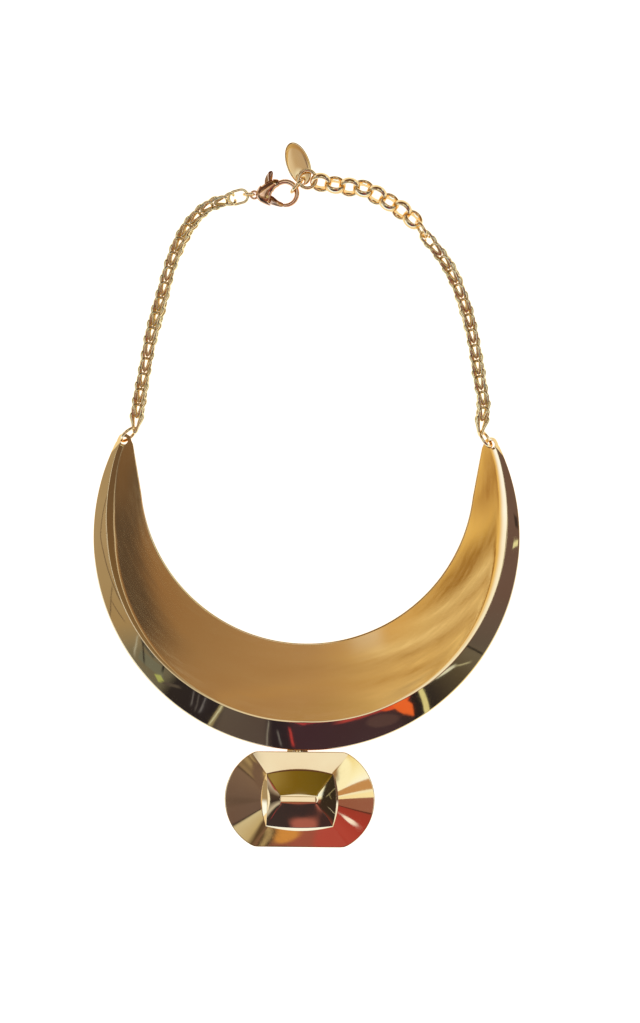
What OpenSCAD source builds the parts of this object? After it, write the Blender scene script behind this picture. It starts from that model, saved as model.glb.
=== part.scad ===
/* [Crescent] */
// Radius of the outer edge
outer_r = 74.5; // [74:0.1:75]
// Radius of the neck edge
inner_r = 58.25; // [57.8:0.05:58.6]
// How far the centre of the neck edge lies above the centre of the outer edge
inner_rise = 21.1; // [20.8:0.1:21.4]
// Height of both rims
rim_t = 2; // [1.8:0.1:2.2]
// Slope of the outer facet, in degrees
facet_slope = 30; // [26:1:33]
// Slope of the inner field, in degrees
field_slope = 11.5; // [10:0.5:12.5]
// Thickness of the formed metal over the hollow back
wall_t = 1.5; // [1.3:0.1:1.6]
// Width of the flat rim on the back
rim_w = 1.5; // [1.2:0.1:2]
// Angle by which the neck edge flares at the horns
horn_flare = 10; // [8:1:12]

/* [Pendant] */
// Half length of the plaque
plaque_half_len = 26.25; // [25.5:0.25:26.5]
// Half height of the plaque
plaque_half_h = 16.7; // [16.2:0.1:16.9]
// Radius of the rounded ends of the plaque
plaque_end_r = 18.5; // [18.2:0.1:18.8]
// Height of the rim of the plaque
plaque_rim_t = 1.8; // [1.7:0.1:2]
// Slope of the upper and lower facets of the plaque, in degrees
plaque_slope = 14; // [12:1:15]
// Slope of the curved end facets of the plaque, in degrees
plaque_end_slope = 12.8; // [11:0.2:13]
// Shift of the plaque to the left of the middle of the crescent
plaque_shift = 1.5; // [0:0.1:2]
// Gap between crescent and plaque
plaque_gap = 0.65; // [0.6:0.05:0.8]
// Height of the top of the cushion above the back
cushion_top = 8.2; // [7.6:0.1:8.6]
// Height of the upper edge of the cushion's side wall
cushion_wall_top = 5.2; // [5:0.1:5.4]

/* [Hinge] */
// Width of the barrel and tab
barrel_w = 7.2; // [6.8:0.1:7.4]
// Radius of the hinge pin
pin_r = 0.5; // [0.45:0.05:0.5]
// Running clearance around the pin
pin_clear = 0.05; // [0.04:0.01:0.06]

/* [Chains] */
// Wire of the chain links
chain_wire = 0.8; // [0.7:0.05:0.82]
// Number of links in the left chain, an odd number
left_links = 33; // [31:2:33]
// Number of links in the right chain, an even number
right_links = 26; // [24:2:26]
// Height of the chain centreline above the surface
chain_z = 2.75; // [2.7:0.05:2.9]

/* [Rings] */
// Radius of the horn rings, to the middle of the wire
horn_ring_r = 3.15; // [3.1:0.05:3.2]
// Wire of the horn rings
horn_ring_wire = 1; // [0.9:0.05:1.05]
// Outer radius of an extender link
extender_r = 3.6; // [3.55:0.05:3.65]
// Radial thickness of an extender link
extender_t = 0.8; // [0.75:0.05:0.85]
// Width of the band of an extender link
extender_w = 1.3; // [1.2:0.05:1.35]
// Radius of the end ring, to the middle of the wire
end_ring_r = 3.15; // [3.1:0.05:3.2]
// Wire of the end ring
end_ring_wire = 1; // [0.95:0.05:1.05]

/* [Clasp] */
// Thickness of the clasp body
clasp_t = 3; // [2.8:0.1:3.2]
// Thickness of the lever
lever_t = 1.5; // [1.4:0.1:1.6]
// Radius of the hook, to the middle of its wire
hook_r = 4.15; // [4.1:0.05:4.2]
// Radius of the hook's wire
hook_wire_r = 0.87; // [0.85:0.01:0.9]

/* [Hidden] */

// Facets that a viewer draws on curved edges
$fn = 96;
// Gap kept between neighbouring pieces
fit_gap = 0.1;
// Height and reach well beyond the object, for cutting solids
big = 200;

gold = "gold";
dark_gold = "goldenrod";

// Plaque and its hinge, measured from the centre of the crescent's outer edge
plaque_centre = [-plaque_shift, -outer_r - plaque_gap - plaque_half_h];
tab_x = -2.4;
pin_inset = 3.8;
pin_y = -outer_r + pin_inset;
pin_z = 1.15;
barrel_r = 0.95;
ear_t = 1.2;
ear_gap = 0.2;
notch_h = 1.3;
notch_gap = 0.4;
tab_bottom = 0.2;
tab_t = 0.8;
tab_reach = 9;

// Horns
flare_start = 14.5;
flare_end = 40;
horn_hole = [64.1, 33.1];
horn_hole_r = 1.3;
horn_end_r = 2.5;
tongue_bottom = 1.45;
tongue_top = 2.55;
tongue_start = 29.8;
hollow_end = 27;

// Top of the tag and bottom of the plaque set the middle of the object in Y
tag_centre = [-4.3, 130.5];
tag_half_len = 7.9;
tag_half_w = 4.1;
tag_turn = 20;
tag_top_y = tag_centre[1] + sqrt(pow(tag_half_len * cos(tag_turn), 2) + pow(tag_half_w * sin(tag_turn), 2));
plaque_bottom_y = plaque_centre[1] - plaque_half_h;
middle_y = (tag_top_y + plaque_bottom_y) / 2;

// Moves a piece from the crescent's centre to the middle of the whole object
module in_place() {
    translate([0, -middle_y, 0]) children();
}

// A wire ring on edge: azimuth is the way its plane runs, lean its tilt from upright
module wire_ring(centre, ring_r, wire, azimuth = 0, lean = 0) {
    translate(centre) rotate([0, 0, azimuth]) rotate([90 - lean, 0, 0])
        rotate_extrude() translate([ring_r, 0]) circle(d = wire, $fn = 32);
}

// The crescent seen from above, with its rims drawn in by inset
module crescent_outline(inset) {
    neck_r = inner_r + inset;
    flare_x = sqrt(pow(neck_r, 2) - pow(flare_start - inner_rise, 2)) - 0.05;
    flare_out = (flare_end - flare_start) * tan(horn_flare);
    difference() {
        circle(r = outer_r - inset, $fn = 240);
        translate([0, inner_rise]) circle(r = neck_r, $fn = 240);
        polygon([[-flare_x, flare_start], [flare_x, flare_start],
                 [flare_x + flare_out, flare_end], [-flare_x - flare_out, flare_end]]);
        translate([-big / 2, horn_hole[1] - inset]) square([big, big]);
    }
}

// Everything under the crescent's outer facet, lowered by drop
module under_facet(drop) {
    translate([0, 0, -drop]) rotate_extrude($fn = 240)
        polygon([[0, -rim_t], [outer_r, -rim_t], [outer_r, rim_t],
                 [0, rim_t + outer_r * tan(facet_slope)]]);
}

// Everything under the crescent's field, lowered by drop
module under_field(drop) {
    start_r = inner_r - 2;
    end_r = outer_r + inner_rise + 5;
    translate([0, inner_rise, -drop]) rotate_extrude($fn = 240)
        polygon([[start_r, -rim_t], [end_r, -rim_t],
                 [end_r, rim_t + (end_r - inner_r) * tan(field_slope)],
                 [start_r, rim_t + (start_r - inner_r) * tan(field_slope)]]);
}

module crescent() {
    ear_w = barrel_w + 2 * (ear_gap + ear_t);
    color(gold) in_place() difference() {
        intersection() {
            union() {
                linear_extrude(big) crescent_outline(0);
                for (side = [-1, 1])
                    translate([side * horn_hole[0], horn_hole[1], 0]) cylinder(r = horn_end_r, h = big);
            }
            under_facet(0);
            under_field(0);
        }
        // hollow back, with the two hinge ears left standing in it
        difference() {
            intersection() {
                translate([0, 0, -1]) linear_extrude(big) crescent_outline(rim_w);
                under_facet(wall_t);
                under_field(wall_t);
                translate([-big / 2, -big + hollow_end, -1]) cube([big, big, big]);
            }
            for (side = [-1, 1])
                translate([tab_x + side * (barrel_w / 2 + ear_gap + ear_t / 2), pin_y, 0])
                    translate([-ear_t / 2, -2, 0]) cube([ear_t, 3.4, big]);
        }
        // notch in the lower rim for the hinge tab, and the bore for the pin
        translate([tab_x - barrel_w / 2 - notch_gap / 2, -outer_r - 1, -1])
            cube([barrel_w + notch_gap, pin_inset - 0.2, notch_h + 1]);
        translate([tab_x - ear_w / 2 - 1, pin_y, pin_z]) rotate([0, 90, 0])
            cylinder(r = pin_r + 0.02, h = ear_w + 2, $fn = 48);
        // thin tongues with holes at the horns
        for (side = [-1, 1]) {
            translate([side * horn_hole[0], horn_hole[1], -1]) cylinder(r = horn_hole_r, h = 10, $fn = 48);
            translate([side * horn_hole[0] - 6, tongue_start, -1]) cube([12, 12, tongue_bottom + 1]);
            translate([side * horn_hole[0] - 6, tongue_start + 1, tongue_top]) cube([12, 12, 10]);
        }
    }
}

// The plaque seen from above, drawn in by inset
module plaque_outline(inset) {
    end_x = plaque_half_len - plaque_end_r;
    intersection() {
        union() {
            for (side = [-1, 1]) translate([side * end_x, 0]) circle(r = plaque_end_r - inset);
            square([2 * end_x, 2 * plaque_end_r - 2 * inset], center = true);
        }
        square([big, 2 * (plaque_half_h - inset)], center = true);
    }
}

// Everything under the four facets of the plaque, lowered by drop
module under_plaque(drop) {
    end_x = plaque_half_len - plaque_end_r;
    peak_z = plaque_rim_t + plaque_half_h * tan(plaque_slope);
    end_peak_z = plaque_rim_t + plaque_end_r * tan(plaque_end_slope);
    translate([0, 0, -drop]) intersection() {
        // long roof over the upper and lower facets
        translate([-big / 2, 0, 0]) rotate([90, 0, 90]) linear_extrude(big)
            polygon([[-plaque_half_h, -1], [plaque_half_h, -1], [plaque_half_h, plaque_rim_t],
                     [0, peak_z], [-plaque_half_h, plaque_rim_t]]);
        // cones over the two ends, with a ridge between their tips
        union() {
            for (side = [-1, 1]) translate([side * end_x, 0, 0]) rotate_extrude()
                polygon([[0, -1], [plaque_end_r, -1], [plaque_end_r, plaque_rim_t], [0, end_peak_z]]);
            translate([-end_x, 0, 0]) rotate([90, 0, 90]) linear_extrude(2 * end_x)
                polygon([[-plaque_end_r, -1], [plaque_end_r, -1], [plaque_end_r, plaque_rim_t],
                         [0, end_peak_z], [-plaque_end_r, plaque_rim_t]]);
        }
    }
}

// The cushion's bowed base, grown by grow: corners and the bulge of its sides
cushion_corner = [11.8, 9.15];
cushion_bulge = [1.7, 1.65];
module cushion_outline(grow) {
    arc_r_long = (pow(cushion_corner[0], 2) + pow(cushion_bulge[1], 2)) / (2 * cushion_bulge[1]);
    arc_r_short = (pow(cushion_corner[1], 2) + pow(cushion_bulge[0], 2)) / (2 * cushion_bulge[0]);
    intersection_for (side = [-1, 1]) intersection() {
        translate([0, side * (cushion_corner[1] + cushion_bulge[1] - arc_r_long)])
            circle(r = arc_r_long + grow, $fn = 180);
        translate([side * (cushion_corner[0] + cushion_bulge[0] - arc_r_short), 0])
            circle(r = arc_r_short + grow, $fn = 180);
    }
}
cushion_seat = 3;
ridge_half_len = 6.1;
ridge_half_w = 1.2;

module hinge_tab() {
    // barrel on the pin, and the flat tab that runs from it under the plaque
    difference() {
        union() {
            translate([tab_x - barrel_w / 2, pin_y, pin_z]) rotate([0, 90, 0])
                cylinder(r = barrel_r, h = barrel_w, $fn = 48);
            translate([tab_x - barrel_w / 2, pin_y - tab_reach, tab_bottom]) cube([barrel_w, tab_reach, tab_t]);
        }
        translate([tab_x - barrel_w, pin_y, pin_z]) rotate([0, 90, 0])
            cylinder(r = pin_r + pin_clear, h = 2 * barrel_w, $fn = 48);
    }
}

module pendant_plate() {
    back_rim = 2;
    color(gold) in_place() union() {
        translate(plaque_centre) difference() {
            intersection() {
                linear_extrude(big) plaque_outline(0);
                under_plaque(0);
            }
            // seat of the cushion
            translate([0, 0, cushion_seat]) linear_extrude(big) cushion_outline(fit_gap);
            // hollow back
            intersection() {
                translate([0, 0, -1]) linear_extrude(big) plaque_outline(back_rim);
                under_plaque(wall_t);
                translate([-big / 2, -big / 2, -1]) cube([big, big, cushion_seat - wall_t + 1]);
            }
        }
        hinge_tab();
    }
}

module pendant_cushion() {
    color(dark_gold) in_place() translate(plaque_centre) intersection() {
        translate([0, 0, cushion_seat + fit_gap / 2]) linear_extrude(big) cushion_outline(0);
        // roof facets above and below the ridge
        translate([-big / 2, 0, 0]) rotate([90, 0, 90]) linear_extrude(big)
            polygon([[-cushion_corner[1] - cushion_bulge[1], 0], [cushion_corner[1] + cushion_bulge[1], 0],
                     [cushion_corner[1] + cushion_bulge[1], cushion_wall_top], [ridge_half_w, cushion_top],
                     [-ridge_half_w, cushion_top], [-cushion_corner[1] - cushion_bulge[1], cushion_wall_top]]);
        // roof facets left and right of the ridge
        translate([0, big / 2, 0]) rotate([90, 0, 0]) linear_extrude(big)
            polygon([[-cushion_corner[0] - cushion_bulge[0], 0], [cushion_corner[0] + cushion_bulge[0], 0],
                     [cushion_corner[0] + cushion_bulge[0], cushion_wall_top], [ridge_half_len, cushion_top],
                     [-ridge_half_len, cushion_top], [-cushion_corner[0] - cushion_bulge[0], cushion_wall_top]]);
    }
}

module hinge_pin() {
    pin_len = barrel_w + 2 * (ear_gap + ear_t);
    color(dark_gold) in_place() translate([tab_x - pin_len / 2, pin_y, pin_z]) rotate([0, 90, 0])
        cylinder(r = pin_r, h = pin_len, $fn = 48);
}

// Horn rings: each drops through its hole below the ring's widest height
horn_ring_z = 3.5;
horn_ring_lean = 20;
left_azimuth = 42;
right_azimuth = 125;
tongue_mid = (tongue_bottom + tongue_top) / 2;
horn_drop = (horn_ring_z - tongue_mid) / cos(horn_ring_lean);
horn_reach = sqrt(pow(horn_ring_r, 2) - pow(horn_drop, 2)) - 0.1;
function horn_ring_centre(hole, azimuth) =
    hole + horn_reach * [cos(azimuth), sin(azimuth)]
         + horn_drop * sin(horn_ring_lean) * [-sin(azimuth), cos(azimuth)];
left_ring_at = horn_ring_centre([-horn_hole[0], horn_hole[1]], left_azimuth);
right_ring_at = horn_ring_centre(horn_hole, right_azimuth);

module horn_ring(at, azimuth) {
    color(gold) in_place()
        wire_ring([at[0], at[1], horn_ring_z], horn_ring_r, horn_ring_wire, azimuth, horn_ring_lean);
}
module horn_ring_left() { horn_ring(left_ring_at, left_azimuth); }
module horn_ring_right() { horn_ring(right_ring_at, right_azimuth); }

// Clasp, oval link and rings on the clasp side
clasp_z = 2.3;
eyelet_at = [-19.5, 119.4];
eyelet_r = 1.6;
eyelet_hole_r = 0.95;
eyelet_t = 1;
clasp_ring_r = 1.75;
clasp_ring_wire = 0.9;
clasp_ring_at = [eyelet_at[0] - 0.15 - clasp_ring_r, eyelet_at[1] + 0.1];
clasp_link_wire = 0.85;
clasp_link_bend_r = 2.3;
clasp_link_straight = 2.1;
clasp_link_turn = 16;
clasp_link_half = clasp_link_straight / 2 + clasp_link_bend_r;
clasp_link_way = [cos(clasp_link_turn), sin(clasp_link_turn)];
clasp_link_at = clasp_ring_at - [0.45, 0] - clasp_link_half * clasp_link_way;
clasp_link_z = 2.65;

module clasp_link() {
    color(gold) in_place() translate([clasp_link_at[0], clasp_link_at[1], clasp_link_z])
        rotate([0, 0, clasp_link_turn]) for (side = [-1, 1]) {
            translate([side * clasp_link_straight / 2, 0, 0]) rotate([0, 0, side * 90 - 180])
                rotate_extrude(angle = 180) translate([clasp_link_bend_r, 0]) circle(d = clasp_link_wire, $fn = 32);
            translate([-clasp_link_straight / 2, side * clasp_link_bend_r, 0]) rotate([0, 90, 0])
                cylinder(d = clasp_link_wire, h = clasp_link_straight, $fn = 32);
        }
}

module clasp_ring() {
    color(gold) in_place()
        wire_ring([clasp_ring_at[0], clasp_ring_at[1], clasp_z + 0.1], clasp_ring_r, clasp_ring_wire, 0, 5);
}

hook_at = [-8.75, 120];
pivot_at = [-14.9, 118.7];
pivot_r = 0.5;
lever_gap = 0.1;
// Outline of the clasp body between eyelet and hook
body_outline = [[-18.6, 120.1], [-17.6, 121.7], [-15.9, 123.2], [-13.8, 124.2], [-11.2, 124.4], [-10.6, 122.9],
                [-12.3, 121.6], [-13.2, 119.6], [-13.3, 117.6], [-13.8, 115.7], [-15.4, 116], [-17.2, 117.2],
                [-18.6, 118.7]];
// Room that the lever needs inside the body, open towards the thumb tab and the gate
slot_outline = [[-15.9, 117.1], [-12, 115], [-12, 121], [-13.4, 120.4], [-12.9, 126], [-18.2, 126], [-16.4, 119.5]];
// Outline of the lever: thumb tab, tail, pivot and gate
lever_outline = [[-14, 127.5], [-14.8, 127.2], [-15, 124.2], [-15.3, 120], [-15.8, 118.7], [-15.6, 117.6],
                 [-13.6, 116.4], [-9.95, 115.55], [-9.55, 116.35], [-11.2, 117.2], [-12.9, 118.6], [-13.9, 119.6],
                 [-14, 124.2]];

module clasp_body() {
    hook_start = -97;
    hook_sweep = 217;
    color(gold) in_place() difference() {
        union() {
            translate([0, 0, clasp_z - clasp_t / 2]) linear_extrude(clasp_t) polygon(body_outline);
            translate([hook_at[0], hook_at[1], clasp_z]) rotate([0, 0, hook_start])
                rotate_extrude(angle = hook_sweep) translate([hook_r, 0]) circle(r = hook_wire_r, $fn = 32);
            translate([eyelet_at[0], eyelet_at[1], clasp_z - eyelet_t / 2]) cylinder(r = eyelet_r, h = eyelet_t);
        }
        translate([eyelet_at[0], eyelet_at[1], clasp_z - eyelet_t]) cylinder(r = eyelet_hole_r, h = 2 * eyelet_t);
        translate([0, 0, clasp_z - lever_t / 2 - lever_gap]) linear_extrude(lever_t + 2 * lever_gap)
            polygon(slot_outline);
        translate([pivot_at[0], pivot_at[1], clasp_z - clasp_t]) cylinder(r = pivot_r + 0.02, h = 2 * clasp_t, $fn = 48);
    }
}

module clasp_lever() {
    color(dark_gold) in_place() translate([0, 0, clasp_z - lever_t / 2]) linear_extrude(lever_t) difference() {
        polygon(lever_outline);
        translate(pivot_at) circle(r = pivot_r + pin_clear, $fn = 48);
    }
}

module clasp_pin() {
    color(gold) in_place() translate([pivot_at[0], pivot_at[1], clasp_z - clasp_t / 2])
        cylinder(r = pivot_r, h = clasp_t, $fn = 48);
}

// Tag, its ring and the end ring
tag_ring_r = 2.85;
tag_ring_wire = 0.9;
tag_ring_azimuth = 50;
tag_ring_at = [-4.65, 122.6];
tag_ring_z = 3.35;
tag_t = 0.8;
tag_hole = [-1.1, -6.2];
tag_hole_r = 1.1;
tag_pitch = 5;
end_ring_at = [-1.05, 125];
end_ring_z = 3.6;
end_ring_tilt = 8;

module tag_ring() {
    color(gold) in_place() wire_ring([tag_ring_at[0], tag_ring_at[1], tag_ring_z], tag_ring_r, tag_ring_wire,
                                     tag_ring_azimuth, 3);
}

module tag() {
    low_z = 0.1;
    color(gold) in_place() translate([tag_centre[0], tag_centre[1], low_z]) rotate([0, 0, tag_turn])
        translate([0, tag_half_len, 0]) rotate([-tag_pitch, 0, 0]) translate([0, -tag_half_len, 0])
            linear_extrude(tag_t) difference() {
                polygon([for (a = [0:6:354]) [tag_half_w * cos(a), tag_half_len * sin(a)]]);
                translate(tag_hole) circle(r = tag_hole_r, $fn = 48);
            }
}

module end_ring() {
    color(gold) in_place() translate([end_ring_at[0], end_ring_at[1], end_ring_z]) rotate([0, end_ring_tilt, 0])
        rotate_extrude() translate([end_ring_r, 0]) circle(d = end_ring_wire, $fn = 32);
}

// Extender: centre of each link, and of the small ring after the last
extender_path = [[3.7, 123.95], [8.7, 123.1], [13.7, 122.4], [18.65, 121.95], [23.2, 119.75], [27.6, 117.25],
                 [31.95, 114.6], [35.85, 111.35]];
chain_ring_at = [38.95, 107.9];
chain_ring_z = 3.6;
chain_ring_lean = 12;
chain_ring_r = 3.1;
chain_ring_wire = 0.95;
chain_ring_azimuth = -58;
extender_z = 3.15;

module extender_link(index) {
    before = index == 0 ? end_ring_at : extender_path[index - 1];
    after = index == len(extender_path) - 1 ? chain_ring_at : extender_path[index + 1];
    along = after - before;
    roll = index % 2 == 0 ? 45 : -45;
    hole_r = extender_r - extender_t;
    bow_r = (pow(extender_t, 2) + pow(extender_w / 2, 2)) / (2 * extender_t);
    color(gold) in_place() translate([extender_path[index][0], extender_path[index][1], extender_z])
        rotate([0, 0, atan2(along[1], along[0])]) rotate([roll, 0, 0])
            rotate_extrude() intersection() {
                translate([extender_r - bow_r, 0]) circle(r = bow_r, $fn = 48);
                translate([hole_r, -extender_w]) square([extender_t * 2, 2 * extender_w]);
            }
}

module chain_ring() {
    color(gold) in_place() wire_ring([chain_ring_at[0], chain_ring_at[1], chain_ring_z], chain_ring_r, chain_ring_wire,
                                     chain_ring_azimuth, chain_ring_lean);
}

// Wheat chain. Each link is a long oval folded in two: its fold faces the crescent and
// its two lobes open away from it. A quarter of the oval, from the end of a lobe to the
// fold, as [along, out, across] from the middle of the link.
link_quarter = [[3.4, 1.15, 0], [2.9, 1.45, 1.3], [0.6, 2.25, 1.6], [-2.8, 2.25, 0.45], [-4.1, 0, 0.45]];
wire_sides = 5;
// How far behind the wire of a fold, and of the end of a lobe, a ring passes
fold_hitch = 1.5;
lobe_hitch = 1.95;

function mirrored(point, out, across) = [point[0], out * point[1], across * point[2]];
link_loop = [
    for (i = [0:4]) link_quarter[i],
    for (i = [3:-1:0]) mirrored(link_quarter[i], -1, 1),
    for (i = [1:4]) mirrored(link_quarter[i], -1, -1),
    for (i = [3:-1:1]) mirrored(link_quarter[i], 1, -1)
];

// Smooth route through points chosen by hand
function between(p, i, t) = let (a = p[i], b = p[i + 1], c = p[i + 2], d = p[i + 3])
    0.5 * ((2 * b) + (c - a) * t + (2 * a - 5 * b + 4 * c - d) * t * t + (3 * b - a - 3 * c + d) * t * t * t);
function smooth(p, steps = 6) = [for (i = [0:len(p) - 4], k = [0:steps - 1]) between(p, i, k / steps), p[len(p) - 2]];
function lengths(p, i = 0, sum = 0) = i == len(p) - 1 ? [sum] :
    concat([sum], lengths(p, i + 1, sum + norm(p[i + 1] - p[i])));
function column(p, s, k) = [for (i = [0:len(p) - 1]) [s[i], p[i][k]]];

// A point of a link, bent along the route and set on the surface side or across it
function on_route(xs, ys, zs, s, point, turned) =
    let (here = s + point[0], ahead = [lookup(here + 0.5, xs), lookup(here + 0.5, ys)],
         behind = [lookup(here - 0.5, xs), lookup(here - 0.5, ys)],
         way = (ahead - behind) / norm(ahead - behind),
         out = turned ? point[2] : point[1], across = turned ? point[1] : point[2])
    [lookup(here, xs) - way[1] * across, lookup(here, ys) + way[0] * across, chain_z + lookup(here, zs) + out];

function unit(v) = v / norm(v);
// Wire of a few sides along a closed loop of points, each ring of the wire facing out
// from the middle of the link
module wire_loop(points, middle, wire) {
    n = len(points);
    rings = [
        for (i = [0:n - 1]) let (
            way = unit(unit(points[(i + 1) % n] - points[i]) + unit(points[i] - points[(i + n - 1) % n])),
            away = points[i] - middle,
            side_a = unit(away - (away * way) * way),
            side_b = cross(way, side_a))
        for (k = [0:wire_sides - 1])
            points[i] + wire / 2 * (cos(360 * k / wire_sides) * side_a + sin(360 * k / wire_sides) * side_b)
    ];
    function corner(i, k) = (i % n) * wire_sides + k % wire_sides;
    polyhedron(rings, [
        for (i = [0:n - 1], k = [0:wire_sides - 1], half = [0, 1]) half == 0
            ? [corner(i, k), corner(i + 1, k), corner(i + 1, k + 1)]
            : [corner(i, k), corner(i + 1, k + 1), corner(i, k + 1)]
    ]);
}

// A chain of count links along a route, evenly shared out between its two hitches
module wheat_chain(route, count) {
    points = smooth(route);
    marks = lengths(points);
    xs = column(points, marks, 0);
    ys = column(points, marks, 1);
    zs = column(points, marks, 2);
    first = marks[6] - fold_hitch - link_quarter[4][0];
    last = marks[6 * (len(route) - 4)] + lobe_hitch - link_quarter[0][0];
    step = (last - first) / (count - 1);
    for (i = [0:count - 1]) {
        turned = i % 2 == 0;
        s = first + i * step;
        loop = [for (point = link_loop) on_route(xs, ys, zs, s, point, turned)];
        wire_loop(loop, on_route(xs, ys, zs, s, [0, 0, 0], turned), chain_wire);
    }
}

// Routes of the chains, lifted a little at the upright rings. The third point is where
// the horn ring holds the first link, the last but two where the far end holds the last
lift = 0.5;
left_start = left_ring_at + horn_ring_r * [cos(left_azimuth), sin(left_azimuth)];
left_far = clasp_link_at - clasp_link_half * clasp_link_way;
left_route = [[-60.6, 29, lift], [-60, 34, lift], [left_start[0], left_start[1], lift], [-58.6, 49, 0.1],
              [-56.7, 60.5, 0], [-54.9, 70.2, 0], [-52.9, 77.6, 0], [-51.1, 84.6, 0], [-48.7, 94, 0],
              [-45.3, 102.6, 0], [-41.4, 109.4, 0], [-35.6, 115.2, 0], [left_far[0], left_far[1], 0],
              [-24.8, 118.8, 0], [-20, 119.6, 0]];
right_start = right_ring_at + horn_ring_r * [cos(right_azimuth), sin(right_azimuth)];
right_far = chain_ring_at + chain_ring_r * [cos(chain_ring_azimuth), sin(chain_ring_azimuth)];
right_route = [[60.2, 29, lift], [60.8, 34, lift], [right_start[0], right_start[1], lift], [61.3, 47, 0.1],
               [60, 55, 0], [58.9, 62, 0], [57.4, 70, 0], [55.6, 77.5, 0], [53.3, 84.5, 0], [50.4, 91.6, 0],
               [46.6, 98, 0.1], [right_far[0], right_far[1], lift], [38.5, 107.2, lift], [35, 110.5, lift]];

module chain_left() { color(gold) in_place() wheat_chain(left_route, left_links); }
module chain_right() { color(gold) in_place() wheat_chain(right_route, right_links); }

crescent();
pendant_plate();
pendant_cushion();
hinge_pin();
horn_ring_left();
horn_ring_right();
chain_left();
chain_right();
clasp_link();
clasp_ring();
clasp_body();
clasp_lever();
clasp_pin();
tag_ring();
tag();
end_ring();
chain_ring();
extender_link(0);  // extender_link_1
extender_link(1);  // extender_link_2
extender_link(2);  // extender_link_3
extender_link(3);  // extender_link_4
extender_link(4);  // extender_link_5
extender_link(5);  // extender_link_6
extender_link(6);  // extender_link_7
extender_link(7);  // extender_link_8
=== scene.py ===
"""Crescent bib choker in polished gold plate, lying flat under a warm studio ceiling.

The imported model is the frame. Each class below is one sub-assembly of the choker: it keeps
its sizes in millimetres, measured from the centre of the crescent's outer edge, and builds
its pieces in the places that the frame gives them.
"""

import logging
import math
from dataclasses import dataclass, field
from enum import Enum
from typing import Iterable, Sequence

import bmesh
import bpy
from mathutils import Matrix, Vector

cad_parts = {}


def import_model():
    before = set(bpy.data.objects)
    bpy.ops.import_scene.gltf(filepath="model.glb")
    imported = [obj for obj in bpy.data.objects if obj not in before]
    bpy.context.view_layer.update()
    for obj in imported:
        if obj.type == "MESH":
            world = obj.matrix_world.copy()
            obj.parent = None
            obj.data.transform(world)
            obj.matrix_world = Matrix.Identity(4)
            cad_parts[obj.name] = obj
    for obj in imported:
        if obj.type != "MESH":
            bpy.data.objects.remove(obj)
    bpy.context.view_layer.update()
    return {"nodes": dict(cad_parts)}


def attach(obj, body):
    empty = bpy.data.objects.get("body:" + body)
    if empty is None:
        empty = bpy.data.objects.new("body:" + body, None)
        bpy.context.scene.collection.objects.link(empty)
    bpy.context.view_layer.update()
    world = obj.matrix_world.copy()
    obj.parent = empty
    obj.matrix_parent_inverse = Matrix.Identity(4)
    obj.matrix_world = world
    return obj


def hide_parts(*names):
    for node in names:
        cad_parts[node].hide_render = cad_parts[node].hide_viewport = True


LOG = logging.getLogger("choker")

MM = 0.001
# Height on the page, in millimetres, that the frame takes as its middle
MIDDLE_Y = 14.7524
# Corners closer together than this many millimetres are merged
WELD = 0.0005
# Middle of the hinge's pin, which lies along x
HINGE_X, HINGE_Y, HINGE_Z = -2.4, -70.7, 1.15
# The Mix node's colour sockets: two in, one out
FIRST, SECOND, MIXED = 6, 7, 2

Point2 = tuple[float, float]
Point3 = tuple[float, float, float]


def linear(colour: str) -> tuple[float, float, float]:
    """Turn an sRGB hex colour into linear light.

    Args:
        colour: six hex digits after a hash sign.

    Returns:
        Red, green and blue from 0 to 1.
    """
    parts = [int(colour[i : i + 2], 16) / 255 for i in (1, 3, 5)]
    return tuple(c / 12.92 if c <= 0.04045 else ((c + 0.055) / 1.055) ** 2.4 for c in parts)


def smooth_step(low: float, high: float, value: float) -> float:
    """Return 0 below low, 1 above high, and an eased value between."""
    t = min(1.0, max(0.0, (value - low) / (high - low)))
    return t * t * (3 - 2 * t)


def from_table(table: Sequence[Point2], value: float) -> float:
    """Read a value off a table, with straight lines between its rows.

    Args:
        table: rows of place and value, in order of place.
        value: the place to read at.

    Returns:
        The value there, or the nearest end's value outside the table.
    """
    if value <= table[0][0]:
        return table[0][1]
    for (x0, y0), (x1, y1) in zip(table, table[1:]):
        if value <= x1:
            return y0 + (y1 - y0) * (value - x0) / (x1 - x0)
    return table[-1][1]


def add(
    tree: bpy.types.NodeTree, kind: str, inputs: dict | None = None, **settings
) -> bpy.types.Node:
    """Add one shader node with its settings, values and links.

    Args:
        tree: the node tree to add to.
        kind: the node's type name, less the words that all shader nodes' names start with.
        inputs: a value or an output socket for each input, by name or number.
        settings: properties of the node.

    Returns:
        The new node.
    """
    node = tree.nodes.new("ShaderNode" + kind)
    for name, value in settings.items():
        setattr(node, name, value)
    for key, value in (inputs or {}).items():
        if isinstance(value, bpy.types.NodeSocket):
            tree.links.new(value, node.inputs[key])
        else:
            node.inputs[key].default_value = value
    return node


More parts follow.
